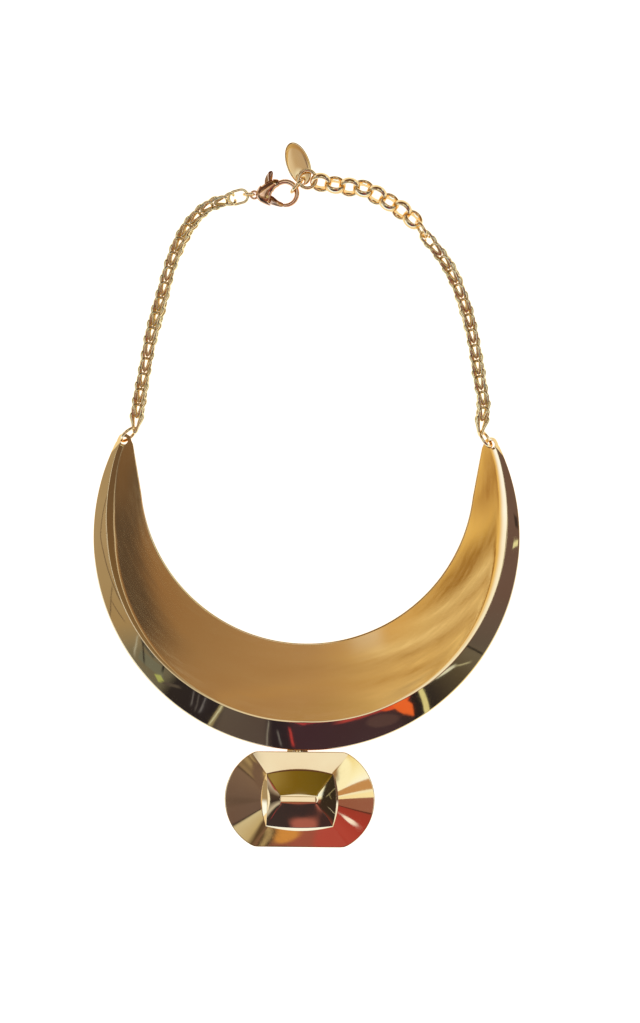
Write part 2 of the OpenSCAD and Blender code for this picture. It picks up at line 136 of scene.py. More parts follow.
def loft(bm: bmesh.types.BMesh, rings: Sequence[Sequence[Point3]], closed: bool = False) -> None:
    """Extrude a ring of corners from station to station.

    Args:
        bm: the mesh to add to.
        rings: the corners of each station, the same number in each.
        closed: True where the last ring lies on the first, and no end is capped.
    """
    count = len(rings[0])
    corners = bmesh.ops.create_circle(bm, segments=count, radius=1.0)["verts"]
    for corner, point in zip(corners, rings[0]):
        corner.co = point
    ends = []
    for ring in [*rings[1:], None]:
        edges = [bm.edges.get((corners[i], corners[(i + 1) % count])) for i in range(count)]
        if ring is rings[1] or ring is None:
            ends.append(edges)
        if ring is None:
            break
        made = bmesh.ops.extrude_edge_only(bm, edges=edges)["geom"]
        new = {g for g in made if isinstance(g, bmesh.types.BMVert)}
        corners = [
            next(e.other_vert(c) for e in c.link_edges if e.other_vert(c) in new) for c in corners
        ]
        for corner, point in zip(corners, ring):
            corner.co = point
    if not closed:
        for edges in ends:
            bmesh.ops.edgeloop_fill(bm, edges=edges)


def softened(before: Point2, corner: Point2, after: Point2, reach: float) -> list[Point2]:
    """Round a corner of a section, with a supporting point on each side of it.

    Args:
        before: the point before the corner.
        corner: the corner.
        after: the point after the corner.
        reach: how far from the corner the rounding starts.

    Returns:
        Seven points that stand for the corner.
    """
    # a rounding takes this share of a side at most, and its supports stand this much further
    most, support, steps = 0.4, 1.9, 4
    here, back, on = Vector(corner), Vector(before), Vector(after)
    back_way, on_way = (back - here).normalized(), (on - here).normalized()
    back_reach = min(reach, (back - here).length * most)
    on_reach = min(reach, (on - here).length * most)
    start, end = here + back_way * back_reach, here + on_way * on_reach
    points = [here + back_way * back_reach * support]
    for step in range(steps + 1):
        t = step / steps
        points.append(start * (1 - t) ** 2 + here * 2 * t * (1 - t) + end * t * t)
    points.append(here + on_way * on_reach * support)
    return [tuple(p) for p in points]


def laid(line: Sequence[Point2], start: Point2, end: Point2) -> list[Point3]:
    """Lay a section on the page.

    Args:
        line: its points, as distance from the start and height.
        start: the place that it starts from.
        end: a place that it runs towards.

    Returns:
        The points as places and heights.
    """
    far = math.dist(start, end)
    way_x, way_y = (end[0] - start[0]) / far, (end[1] - start[1]) / far
    return [(start[0] + way_x * a, start[1] + way_y * a, z) for a, z in line]


def catmull(points: Sequence[Sequence[float]], steps: int, cyclic: bool) -> list[Vector]:
    """Draw a smooth line through points.

    Args:
        points: the points to pass through.
        steps: how many pieces each stretch between two points gets.
        cyclic: True where the line closes on itself.

    Returns:
        The points of the smooth line.
    """
    vectors = [Vector(p) for p in points]
    count = len(vectors)
    line = []
    stretches = range(count) if cyclic else range(1, count - 2)
    for i in stretches:
        a, b, c, d = (vectors[(i + k) % count] for k in (-1, 0, 1, 2))
        for k in range(steps):
            t = k / steps
            curve = 2 * b + (c - a) * t + (2 * a - 5 * b + 4 * c - d) * t * t
            line.append(0.5 * (curve + (3 * b - a - 3 * c + d) * t * t * t))
    if not cyclic:
        line.append(vectors[-2])
    return line


def to_frame(points: Iterable[Vector]) -> list[Vector]:
    """Take points from millimetres about the crescent's centre to metres in the frame."""
    return [Vector((p[0], p[1] - MIDDLE_Y, p[2])) * MM for p in points]


def turn_by(
    bm: bmesh.types.BMesh, verts: Sequence[bmesh.types.BMVert], degrees: float, axis: str
) -> None:
    """Turn corners about an axis through the origin."""
    bmesh.ops.rotate(bm, verts=verts, matrix=Matrix.Rotation(math.radians(degrees), 3, axis))


def block(bm: bmesh.types.BMesh, size: Point3, centre: Point3) -> None:
    """Add a block that lies square to the page.

    Args:
        bm: the mesh to add to.
        size: its size along each axis.
        centre: its middle.
    """
    verts = bmesh.ops.create_cube(bm, size=1.0)["verts"]
    bmesh.ops.scale(bm, verts=verts, vec=size)
    bmesh.ops.translate(bm, verts=verts, vec=centre)


def rod(bm: bmesh.types.BMesh, radius: float, length: float, centre: Point3, segments: int,
        lying: bool = False) -> None:
    """Add a round rod.

    Args:
        bm: the mesh to add to.
        radius: its radius.
        length: its length.
        centre: its middle.
        segments: how many faces it has round it.
        lying: True where it lies along x, False where it is upright.
    """
    verts = bmesh.ops.create_cone(
        bm, cap_ends=True, segments=segments, radius1=radius, radius2=radius, depth=length
    )["verts"]
    if lying:
        turn_by(bm, verts, 90, "Y")
    bmesh.ops.translate(bm, verts=verts, vec=centre)


def put(name: str, data: bpy.types.ID) -> bpy.types.Object:
    """Put a new object in the scene, at the origin.

    Args:
        name: the object's name.
        data: its mesh, curve or camera.

    Returns:
        The object.
    """
    thing = bpy.data.objects.new(name, data)
    bpy.context.scene.collection.objects.link(thing)
    return thing


def dress(mesh: bpy.types.Mesh, material: bpy.types.Material) -> None:
    """Give a whole mesh one material, in place of any it has."""
    mesh.materials.clear()
    mesh.materials.append(material)


def piece_from(
    bm: bmesh.types.BMesh, name: str, materials: Sequence[bpy.types.Material]
) -> bpy.types.Object:
    """Make a finished piece out of a mesh drawn in millimetres.

    Args:
        bm: the mesh, which is used up.
        name: the piece's name.
        materials: its materials, in the order of its faces' numbers.

    Returns:
        The piece, at the origin, with its place in its mesh.
    """
    bmesh.ops.remove_doubles(bm, verts=bm.verts, dist=WELD)
    bmesh.ops.translate(bm, verts=bm.verts, vec=(0, -MIDDLE_Y, 0))
    bmesh.ops.scale(bm, verts=bm.verts, vec=(MM, MM, MM))
    bmesh.ops.recalc_face_normals(bm, faces=bm.faces)
    for face in bm.faces:
        face.smooth = True
    mesh = bpy.data.meshes.new(name)
    bm.to_mesh(mesh)
    bm.free()
    for material in materials:
        mesh.materials.append(material)
    return put(name, mesh)


def fit(piece: bpy.types.Object, body: str, slot: str, *nodes: str) -> None:
    """Put a piece on its body and let it stand for its nodes.

    Args:
        piece: the piece.
        body: the body that it moves with.
        slot: the slot of its look; not used.
        nodes: the frame's nodes that it replaces, if any.
    """
    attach(piece, body)
    if nodes:
        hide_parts(*nodes)
    LOG.info("%s: %d faces on %s", piece.name, len(piece.data.polygons), body)


def evaluated(thing: bpy.types.Object) -> bpy.types.Mesh:
    """Make a mesh of an object as its modifiers or its curve settings leave it."""
    return bpy.data.meshes.new_from_object(
        thing.evaluated_get(bpy.context.evaluated_depsgraph_get())
    )


def carve(piece: bpy.types.Object, cutter: bmesh.types.BMesh) -> None:
    """Cut closed shapes out of a piece.

    Args:
        piece: the piece.
        cutter: the shapes, drawn in millimetres, which are used up.
    """
    tool = piece_from(cutter, piece.name + "_cutter", [])
    for face in tool.data.polygons:
        face.use_smooth = False
    boolean = piece.modifiers.new("cut", "BOOLEAN")
    boolean.operation, boolean.solver, boolean.object = "DIFFERENCE", "EXACT", tool
    mesh = evaluated(piece)
    piece.modifiers.clear()
    piece.data = mesh
    bpy.data.objects.remove(tool)


def wire_piece(name: str, loops: Sequence[Sequence[Vector]], radius: float,
               material: bpy.types.Material, cyclic: bool = True, resolution: int = 3,
               widths: Sequence[float] | None = None) -> bpy.types.Object:
    """Make a finished piece of round wire bent along lines.

    Args:
        name: the piece's name.
        loops: the lines, in metres in the frame.
        radius: half the wire's thickness, in millimetres.
        material: the wire's material.
        cyclic: True where each line closes on itself.
        resolution: how round the wire is.
        widths: share of the radius at each point of a line, or None for 1.

    Returns:
        One piece of all the wires.
    """
    curve = bpy.data.curves.new("wire", "CURVE")
    curve.dimensions = "3D"
    curve.bevel_depth = radius * MM
    curve.bevel_resolution = resolution
    curve.use_fill_caps = True
    curve.twist_mode = "MINIMUM"
    for loop in loops:
        spline = curve.splines.new("POLY")
        spline.points.add(len(loop) - 1)
        for i, point in enumerate(loop):
            spline.points[i].co = (*point, 1)
            spline.points[i].radius = widths[i] if widths else 1
        spline.use_cyclic_u = cyclic
        spline.use_smooth = True
    holder = put("wire", curve)
    mesh = evaluated(holder)
    bpy.data.objects.remove(holder)
    dress(mesh, material)
    return put(name, mesh)


class Grain(Enum):
    """How the marks of a finish run."""

    EVEN = "even"
    ARCS = "arcs"


@dataclass(frozen=True)
class GoldFinish:
    """Electroplated gold on brass, from its polish and its marks.

    Plate is a mirror with a soft wave in it, which bends the lines that it reflects. The
    marks of its buffing are far finer than a pixel, so they are drawn as a slight change
    of roughness and as waves of a few millimetres.
    """

    name: str
    tint: str = "#FADA98"
    thin_tint: str = "#F0C684"
    roughness: float = 0.05
    roughness_spread: float = 0.03
    wave_mm: float = 9.0
    wave_depth_mm: float = 0.004
    grain: Grain = Grain.EVEN
    # Sizes of the patches of thinner plating and of haze, and the haze's share that shows
    thin_mm: float = 14.0
    haze_mm: float = 1.2
    haze_range: Point2 = (0.3, 0.75)
    # How many millimetres of pattern lie along an arc of one radian
    arc_mm: float = 9.0

    def material(self) -> bpy.types.Material:
        """Build the finish as a material.

        Returns:
            The material, which reads Object coordinates alone.
        """
        material = bpy.data.materials.new(self.name)
        material.use_nodes = True
        tree = material.node_tree
        tree.nodes.clear()
        place = add(tree, "TexCoord").outputs["Object"]
        if self.grain is Grain.ARCS:
            place = self._along_arcs(tree, place)
        # Plating is thinner here and there, over a few centimetres
        scale = 1 / (self.thin_mm * MM)
        thin = add(tree, "TexNoise", {"Vector": place, "Scale": scale, "Detail": 3.0})
        tints = {FIRST: (*linear(self.tint), 1), SECOND: (*linear(self.thin_tint), 1)}
        tint = add(tree, "Mix", {0: thin.outputs["Fac"], **tints}, data_type="RGBA")
        # Buffing haze, in patches of about a millimetre
        scale = 1 / (self.haze_mm * MM)
        haze = add(tree, "TexNoise", {"Vector": place, "Scale": scale, "Detail": 4.0})
        roughness = add(tree, "MapRange", {
            "Value": haze.outputs["Fac"],
            "From Min": self.haze_range[0],
            "From Max": self.haze_range[1],
            "To Min": self.roughness,
            "To Max": self.roughness + self.roughness_spread,
        })
        wave = add(tree, "TexNoise", {
            "Vector": place, "Scale": 1 / (self.wave_mm * MM), "Detail": 1.0, "Roughness": 0.4,
        })
        bump = add(tree, "Bump", {
            "Height": wave.outputs["Fac"], "Distance": self.wave_depth_mm * MM, "Strength": 1.0,
        })
        shader = add(tree, "BsdfPrincipled", {
            "Base Color": tint.outputs[MIXED],
            "Metallic": 1.0,
            "Roughness": roughness.outputs["Result"],
            "Normal": bump.outputs["Normal"],
        })
        add(tree, "OutputMaterial", {"Surface": shader.outputs["BSDF"]})
        return material

    def _along_arcs(
        self, tree: bpy.types.NodeTree, place: bpy.types.NodeSocket
    ) -> bpy.types.NodeSocket:
        """Stretch a pattern along the neck edge's circle, as buffing on a wheel leaves it.

        Args:
            tree: the material's node tree.
            place: Object coordinates.

        Returns:
            Coordinates that change fast across the arcs and slowly along them.
        """
        centre = (0, (Crescent.inner_rise - MIDDLE_Y) * MM, 0)
        away = add(tree, "VectorMath", {0: place, 1: centre}, operation="SUBTRACT").outputs[0]
        parts = add(tree, "SeparateXYZ", {0: away}).outputs
        across = add(tree, "VectorMath", {0: away}, operation="LENGTH").outputs["Value"]
        angle = add(tree, "Math", {0: parts["X"], 1: parts["Y"]}, operation="ARCTAN2").outputs[0]
        along = add(tree, "Math", {0: angle, 1: self.arc_mm * MM}, operation="MULTIPLY").outputs[0]
        return add(tree, "CombineXYZ", {"X": across, "Y": along}).outputs[0]


# A stamped and polished facet: near mirror, its reflections bent by slight waves
MIRROR = GoldFinish(
    "gold_plate_mirror", roughness=0.035, roughness_spread=0.02, wave_mm=7, wave_depth_mm=0.003
)
# The wide field, buffed on a wheel: reflections are softer and drawn out along arcs
BUFFED = GoldFinish("gold_plate_buffed", roughness=0.045, roughness_spread=0.04, wave_mm=2.6,
                    wave_depth_mm=0.003, grain=Grain.ARCS)
# Tumbled wire: bright, with a faint unevenness along it
TUMBLED = GoldFinish("gold_plated_wire_tumbled", tint="#FFE4A8", thin_tint="#F8CF88",
                     roughness=0.06, roughness_spread=0.05, wave_mm=1.1)
# The same plating on the fine wire of the chains, its tint painted paler for the light that the
# links bounce onto each other
PLAITED = GoldFinish("gold_plated_wire_fine", tint="#FFEEAE", thin_tint="#FFDD98",
                     roughness=0.06, roughness_spread=0.05, wave_mm=0.9)
# Die-cast zinc, plated: slightly pitted, so its lights are broader
CAST = GoldFinish("gold_plated_cast_zinc", tint="#F0C28C", thin_tint="#E2A872",
                  roughness=0.07, roughness_spread=0.06, wave_mm=1.6, wave_depth_mm=0.006)
# Drawn brass of the pins, unplated and duller
DRAWN = GoldFinish("drawn_brass_pin", tint="#E8C472", thin_tint="#CFA458",
                   roughness=0.22, roughness_spread=0.1, wave_mm=0.8, wave_depth_mm=0.002)


@dataclass
class Crescent:
    """The formed crescent plate: outer facet, crest strip, dished field and hollow back."""

    outer_r: float = 74.5
    inner_r: float = 58.25
    inner_rise: float = 21.1
    rim_t: float = 2.0
    rim_w: float = 1.5
    wall_t: float = 1.5
    field_slope: float = 0.172
    field_dish: float = 0.0022
    facet_bulge: float = 0.0175
    crest_slope: float = 0.085
    # From this height on the page the neck edge runs straight up the horn, and leans outwards
    # by this many degrees
    flare_start: float = 14.5
    horn_flare: float = 10.0
    horn_hole: Point2 = (64.1, 33.1)
    horn_hole_r: float = 1.3
    horn_end_r: float = 2.5
    # The cutter of the horn holes: the height of its middle, and its length
    drill_z: float = 2.0
    drill_length: float = 12.0
    # Over these turns the neck edge runs into the horn's round end, which starts this far
    # before the hole
    end_blend: Point2 = (117.6, 118.5)
    end_lead: float = 0.95
    # The horns' backs rise by this much between these heights on the page
    horn_rise: float = 1.05
    rise_from: Point2 = (27.5, 30.5)
    # Over these turns the hollow of the back runs out
    hollow_end: Point2 = (106, 114)
    # Distance from the outer edge, by degrees from the bottom, of the crest and of the
    # line where the strip inside it melts into the field
    crest: tuple[Point2, ...] = (
        (0, 10.15), (30, 8.95), (50, 7.5), (70, 6.3), (90, 4.9), (105, 3.0), (113, 1.75),
        (119, 1.05),
    )
    strip_end: tuple[Point2, ...] = (
        (0, 10.9), (30, 9.9), (50, 9.5), (70, 9.2), (88, 8.86), (97, 7.7), (105, 5.85),
        (111.5, 4.2), (119, 3.0),
    )
    # From this turn on, crest and strip are held to a share of the plate's width
    narrow: float = 100.0
    crest_share: float = 0.24
    strip_share: float = 0.6
    strip_least: float = 0.3
    # Share of the strip, from the crest, that has a mirror polish
    strip_polish: float = 0.75
    # Rounding of the outer edge, the crest and the neck edge
    roundings: Point3 = (0.3, 0.14, 0.35)
    # The width from which a section is fully rounded
    full_width: float = 8.0
    # The rim's greatest share of a section's width, and the least depth of the hollow
    rim_share: float = 0.3
    hollow_least: float = 0.02
    facet_columns: int = 9
    strip_columns: int = 8
    field_columns: int = 14
    back_columns: int = 7
    # Turns of each horn's shoulder and tip, and the stations between shoulders and on a tip
    shoulder: float = 116.4
    tip: float = 119.24
    stations: int = 300
    tip_stations: int = 12
    # Cut-out for the hinge in the plate's edge, and the ears that hold its pin
    notch: Point3 = (7.6, 3.6, 2.6)
    notch_in: float = 0.8
    ear: Point3 = (1.2, 3.4, 2.3)
    ear_off: float = 4.4
    ear_y: float = -71.0
    ear_round: float = 0.15

    def edges_at(self, turn: float) -> Point2:
        """Distances of the neck edge and the outer edge along a ray from the centre.

        Args:
            turn: degrees from the bottom, towards the right if positive.

        Returns:
            The neck edge's and the outer edge's distance.
        """
        b = math.radians(abs(turn))
        rise = self.inner_rise
        neck = -rise * math.cos(b) + math.sqrt(self.inner_r**2 - (rise * math.sin(b)) ** 2)
        outer = self.outer_r
        if -neck * math.cos(b) > self.flare_start:
            lean = math.tan(math.radians(self.horn_flare))
            foot = math.sqrt(self.inner_r**2 - (self.flare_start - rise) ** 2)
            neck = (foot - self.flare_start * lean) / (math.sin(b) + lean * math.cos(b))
        hole_far = math.hypot(*self.horn_hole)
        hole_turn = 90 + math.degrees(math.atan2(self.horn_hole[1], self.horn_hole[0]))
        off = math.radians(abs(turn) - hole_turn)
        half = self.horn_end_r**2 - (hole_far * math.sin(off)) ** 2
        if half > 0:
            middle, half = hole_far * math.cos(off), math.sqrt(half)
            if abs(turn) > hole_turn - self.end_lead:
                outer = min(outer, middle + half)
            neck += (middle - half - neck) * smooth_step(*self.end_blend, abs(turn))
        return neck, outer

    def place(self, turn: float, distance: float) -> Point2:
        """Turn a direction and a distance from the centre into a place on the page."""
        b = math.radians(turn)
        return distance * math.sin(b), -distance * math.cos(b)

    def field_height(self, x: float, y: float) -> float:
        """Height of the dished field at a place."""
        d = math.hypot(x, y - self.inner_rise) - self.inner_r
        return self.rim_t + self.field_slope * d + self.field_dish / 2 * d * d

    def top_line(self, turn: float) -> list[Point2]:
        """Section of the top along a ray.

        Args:
            turn: degrees from the bottom.

        Returns:
            Points (distance from the outer edge, height) from the outer edge to the neck.
        """
        neck, outer = self.edges_at(turn)
        width = outer - neck
        crest = from_table(self.crest, abs(turn))
        if abs(turn) >= self.narrow:
            crest = min(crest, width * self.crest_share)
        end = min(from_table(self.strip_end, abs(turn)), width * self.strip_share)
        end = max(end, crest + self.strip_least)

        def field_at(a: float) -> float:
            """Height of the field at a distance from the outer edge."""
            return self.field_height(*self.place(turn, outer - a))

        step = 0.05
        slope = (field_at(end - step) - field_at(end + step)) / (2 * step)
        curve = (slope - self.crest_slope) / (end - crest)
        crest_z = field_at(crest) - curve * (end - crest) ** 2 / 2
        facet = (crest_z - self.rim_t) / crest
        line = []
        for i in range(self.facet_columns):
            t = i / self.facet_columns
            a = crest * t
            line.append((a, self.rim_t + facet * a + self.facet_bulge * crest * 4 * t * (1 - t)))
        for i in range(self.strip_columns):
            a = crest + (end - crest) * i / self.strip_columns
            line.append((a, field_at(a) - curve * (end - a) ** 2 / 2))
        for i in range(self.field_columns + 1):
            a = end + (width - end) * i / self.field_columns
            line.append((a, field_at(a)))
        return line

    def section(self, turn: float) -> list[Point3]:
        """Closed section of the plate along a ray.

        Args:
            turn: degrees from the bottom.

        Returns:
            The section's corners in millimetres.
        """
        neck, outer = self.edges_at(turn)
        width = outer - neck
        top = self.top_line(turn)
        crest = self.facet_columns
        middle_y = self.place(turn, (neck + outer) / 2)[1]
        floor = self.horn_rise * smooth_step(*self.rise_from, middle_y)
        # the horns are narrow, so their edges are rounded less
        first, second, third = (r * min(1.0, width / self.full_width) for r in self.roundings)
        start = softened((0, floor), top[0], top[1], first)
        middle = softened(top[crest - 1], top[crest], top[crest + 1], second)
        end = softened(top[-2], top[-1], (width, floor), third)
        line = [(0.0, floor), *start, *top[1:crest], *middle, *top[crest + 1 : -1], *end]
        rim = min(self.rim_w, width * self.rim_share)
        line += [(width, floor), (width - rim, floor)]
        depth = 1 - smooth_step(*self.hollow_end, abs(turn))
        for i in range(self.back_columns + 1):
            a = width - rim - (width - 2 * rim) * i / self.back_columns
            roof = from_table(top, a) - self.wall_t
            line.append((a, floor + max(self.hollow_least, (roof - floor) * depth)))
        line.append((rim, floor))
        return [(*self.place(turn, outer - a), z) for a, z in line]

    def build(self) -> None:
        """Build the crescent, its horn holes and its hinge ears."""
        middle, tip = self.stations // 2, self.tip_stations
        half = [self.shoulder * i / middle for i in range(middle + 1)]
        for i in range(1, tip + 1):
            share = math.sin(math.pi / 2 * i / tip)
            half.append(self.shoulder + (self.tip - self.shoulder) * share)
        turns = [-t for t in reversed(half[1:])] + half
        bm = bmesh.new()
        loft(bm, [self.section(t) for t in turns])
        for face in bm.faces:
            x, y, z = face.calc_center_median()
            turn = math.degrees(math.atan2(x, -y))
            outer = self.edges_at(turn)[1]
            crest, end = (from_table(t, abs(turn)) for t in (self.crest, self.strip_end))
            inside = outer - math.hypot(x, y) > crest + (end - crest) * self.strip_polish
            face.material_index = int(inside and z > self.rim_t - self.roundings[0])
        piece = piece_from(bm, "crescent_plate", [MIRROR.material(), BUFFED.material()])
        cutter = bmesh.new()
        for side in (-1, 1):
            centre = (side * self.horn_hole[0], self.horn_hole[1], self.drill_z)
            rod(cutter, self.horn_hole_r, self.drill_length, centre, segments=48)
        block(cutter, self.notch, (HINGE_X, -self.outer_r + self.notch_in, 0))
        carve(piece, cutter)
        fit(piece, "collar", "gold_plate", "crescent")
        self._build_ears()

    def _build_ears(self) -> None:
        """Build the two ears that hold the hinge pin, standing in the hollow back."""
        bm = bmesh.new()
        for side in (-1, 1):
            block(bm, self.ear, (HINGE_X + side * self.ear_off, self.ear_y, HINGE_Z))
        bmesh.ops.bevel(bm, geom=bm.edges, offset=self.ear_round, segments=2, affect="EDGES",
                        profile=0.5, material=-1, clamp_overlap=True)
        fit(piece_from(bm, "hinge_ears", [CAST.material()]), "collar", "gold_plate")


@dataclass
class Plaque:
    """The drop plaque: a four-facet plate with rounded ends and a hip-roofed cushion."""

    centre: Point2 = (-1.45, -91.7)
    half_h: float = 16.7
    end_r: float = 18.5
    end_x: float = 7.75
    mitre: Point2 = (16.9, 15.87)
    rim_t: float = 1.8
    slope: float = 0.27
    end_slope: float = 0.235
    pillow: float = 0.03
    corner: Point2 = (11.8, 9.15)
    # How far the upper, right, lower and left side of the cushion's base bow out
    bows: tuple[float, float, float, float] = (1.65, 1.7, 1.65, 1.7)
    # Long facets: how they fall away to both sides, and how far they stand above the rim
    side_camber: float = 0.0009
    side_lift: float = 0.1
    seat_z: float = 3.0
    seat_overlap: float = 0.05
    seat_in: float = 0.04
    # Rounding of the plate's edge, and of the corner in which the cushion sits
    rim_round: float = 0.22
    seat_round: float = 0.05
    # How far a facet would run on past the seat, which its rounding is drawn towards
    past_seat: float = 0.2
    back_rim: float = 2.0
    # Height of the hollow's middle, where rings lie across it, as shares of its width, and
    # the least height of its edge
    hollow_z: float = 1.5
    hollow_rings: Point2 = (0.55, 0.8)
    hollow_least: float = 0.05
    wall_t: float = 1.6
    per_side: int = 32
    facet_columns: int = 8
    # Hinge tab and the barrel round the pin
    tab: Point3 = (7.2, 8.0, 0.8)
    tab_y: float = -75.4
    tab_z: float = 0.6
    barrel_r: float = 0.95
    # Cushion: height and place of its eaves, its ridge, and how far that lies off centre
    eave_z: float = 4.9
    eave_in: float = 0.25
    eave_bow: tuple[float, float, float, float] = (-0.24, 0.7, 0.1, 1.3)
    eave_bulge: tuple[float, float, float, float] = (1.35, 1.25, 0.75, -0.2)
    flank_slope: float = 0.82
    ridge_z: float = 8.18
    roof_hump: float = 0.2
    roof_columns: int = 8
    # Rounding of the cushion's foot, eaves and ridge
    cushion_round: Point3 = (0.06, 0.1, 0.45)
    # How far the roof would run on past the ridge, along and up
    past_ridge: Point2 = (0.9, 0.01)
    ridge_half: Point2 = (6.1, 1.0)
    ridge_shift: Point2 = (-0.4, 0.5)

    def steps(self) -> list[float]:
        """Choose where the corners of a side stand, close together at both its ends.

        Returns:
            Their shares of the side, without its last end.
        """
        close, count = 0.006, self.per_side - 1
        middle = [close + (1 - 2 * close) * i / (count - 1) for i in range(count)]
        return [0.0, *middle]

    def outline(self, inset: float) -> list[Point2]:
        """Outer edge of the plate, clockwise from the upper left mitre.

        Args:
            inset: how far the edge is drawn in.

        Returns:
            Four times per_side points about the plate's centre.
        """
        r, h = self.end_r - inset, self.half_h - inset
        lean = math.atan2(self.mitre[1], self.mitre[0] - self.end_x)
        mitre_x = self.end_x + r * math.cos(lean)
        # where the straight side meets the round end, the edge is eased by this depth
        ease, reach = 0.12, 0.25
        points = []
        for side in range(4):
            for t in self.steps():
                if side % 2 == 0:
                    x = mitre_x * (2 * t - 1)
                    past = max(0.0, abs(x) - self.end_x)
                    arc = math.sqrt(r * r - past * past)
                    y = min(h, arc) - ease * math.exp(-abs(h - arc) / reach)
                else:
                    turn = lean * (1 - 2 * t)
                    x, y = self.end_x + r * math.cos(turn), r * math.sin(turn)
                points.append((x, y) if side < 2 else (-x, -y))
        return points

    def bowed(self, half: Point2, grow: float, bows: Sequence[float]) -> list[Point2]:
        """Draw a rectangle with bowed sides, with as many points as the outline.

        Args:
            half: half its width and height.
            grow: how far it is grown.
            bows: how far its upper, right, lower and left side bow out.

        Returns:
            Four times per_side points about the plate's centre.
        """
        cx, cy = half[0] + grow, half[1] + grow
        points = []
        for side, most in enumerate(bows):
            for step in self.steps():
                t = 2 * step - 1
                bow = most * (1 - t * t)
                x, y = ((cx * t, cy + bow), (cx + bow, -cy * t))[side % 2]
                points.append((x, y) if side < 2 else (-x, -y))
        return points

    def facet_height(self, index: int, x: float, y: float) -> float:
        """Work out the height of the plate's facets at a place.

        Args:
            index: number of the column that the place is in.
            x: the place across the page, from the plate's centre.
            y: the place along the page, from the plate's centre.

        Returns:
            The height above the floor.
        """
        if index // self.per_side % 2 == 0:
            rise = (self.half_h - abs(y)) * self.slope
            return self.rim_t + rise - self.side_camber * x * x + self.side_lift
        reach = math.hypot(abs(x) - self.end_x, y)
        return self.rim_t + (self.end_r - reach) * self.end_slope

    def plate_rings(self) -> list[list[Point3]]:
        """Draw the plate from its hollow back, round the rim, to the cushion's seat.

        Returns:
            The rings of its corners.
        """
        rim, inner = self.outline(0), self.outline(self.back_rim)
        seat = self.bowed(self.corner, -self.seat_in, self.bows)
        rings = []
        for share in self.hollow_rings:
            rings.append([(x * share, y * share, self.hollow_z) for x, y in inner])
        roof = (self.facet_height(i, *p) - self.wall_t for i, p in enumerate(inner))
        rings.append([(*p, max(self.hollow_least, z)) for p, z in zip(inner, roof)])
        rings += [[(x, y, 0.0) for x, y in edge] for edge in (inner, rim)]
        sections = []
        for i, (start, end) in enumerate(zip(rim, seat)):
            wide = math.dist(start, end)
            line = []
            for k in range(self.facet_columns + 1):
                t = k / self.facet_columns
                x, y = (a + (b - a) * t for a, b in zip(start, end))
                line.append((wide * t, self.facet_height(i, x, y) + 4 * self.pillow * t * (1 - t)))
            first = softened((0, 0), line[0], line[1], self.rim_round)
            beyond = (wide + self.past_seat, line[-1][1])
            last = softened(line[-2], line[-1], beyond, self.seat_round)
            sections.append(laid([*first, *line[1:-1], *last], start, end))
        rings += zip(*sections)
        rings.append([(x, y, self.seat_z - self.seat_overlap) for x, y in seat])
        return rings

    def cushion_rings(self) -> list[list[Point3]]:
        """Draw the cushion from its base, over the eaves, to the ridge.

        Returns:
            The rings of its corners.
        """
        base = self.bowed(self.corner, 0, self.bows)
        eaves = self.bowed(self.corner, -self.eave_in, self.eave_bulge)
        dx, dy = self.ridge_shift
        ridge = [(x + dx, y + dy) for x, y in self.bowed(self.ridge_half, 0, (0, 0, 0, 0))]
        steps = self.steps()
        sections = []
        for i, (foot, eave, top) in enumerate(zip(base, eaves, ridge)):
            side, t = i // self.per_side, 2 * steps[i % self.per_side] - 1
            eave_z = self.eave_z + self.eave_bow[side] * (1 - t * t)
            wide, out = math.dist(eave, top), math.dist(foot, eave)
            # the short facets are humped twice as much as the long ones
            hump = self.roof_hump * (1 + side % 2)
            line = []
            for k in range(self.roof_columns + 1):
                s = k / self.roof_columns
                line.append((wide * s, eave_z + (self.ridge_z - eave_z) * s + hump * s * (1 - s)))
            low = (-out, eave_z - self.flank_slope * out)
            beyond = (wide + self.past_ridge[0], self.ridge_z + self.past_ridge[1])
            at_foot, at_eave, at_ridge = self.cushion_round
            whole = softened((-out, self.seat_z), low, line[0], at_foot)
            whole += softened(low, line[0], line[1], at_eave) + line[1:-1]
            whole += softened(line[-2], line[-1], beyond, at_ridge)[:-1]
            sections.append(laid(whole, eave, top))
        return [[(x, y, self.seat_z + self.seat_overlap) for x, y in base], *zip(*sections)]

    def build(self) -> None:
        """Build the plate with its hinge tab, and the cushion."""
        bm = bmesh.new()
        loft(bm, self.plate_rings())
        bmesh.ops.translate(bm, verts=bm.verts, vec=(*self.centre, 0))
        block(bm, self.tab, (HINGE_X, self.tab_y, self.tab_z))
        hinge = (HINGE_X, HINGE_Y, HINGE_Z)
        rod(bm, self.barrel_r, self.tab[0], hinge, segments=40, lying=True)
        plate = piece_from(bm, "plaque_plate", [MIRROR.material()])
        fit(plate, "plaque", "gold_plate", "pendant_plate")
        bm = bmesh.new()
        loft(bm, self.cushion_rings())
        bmesh.ops.translate(bm, verts=bm.verts, vec=(*self.centre, 0))
        cushion = piece_from(bm, "plaque_cushion", [MIRROR.material()])
        fit(cushion, "plaque", "gold_cushion", "pendant_cushion")


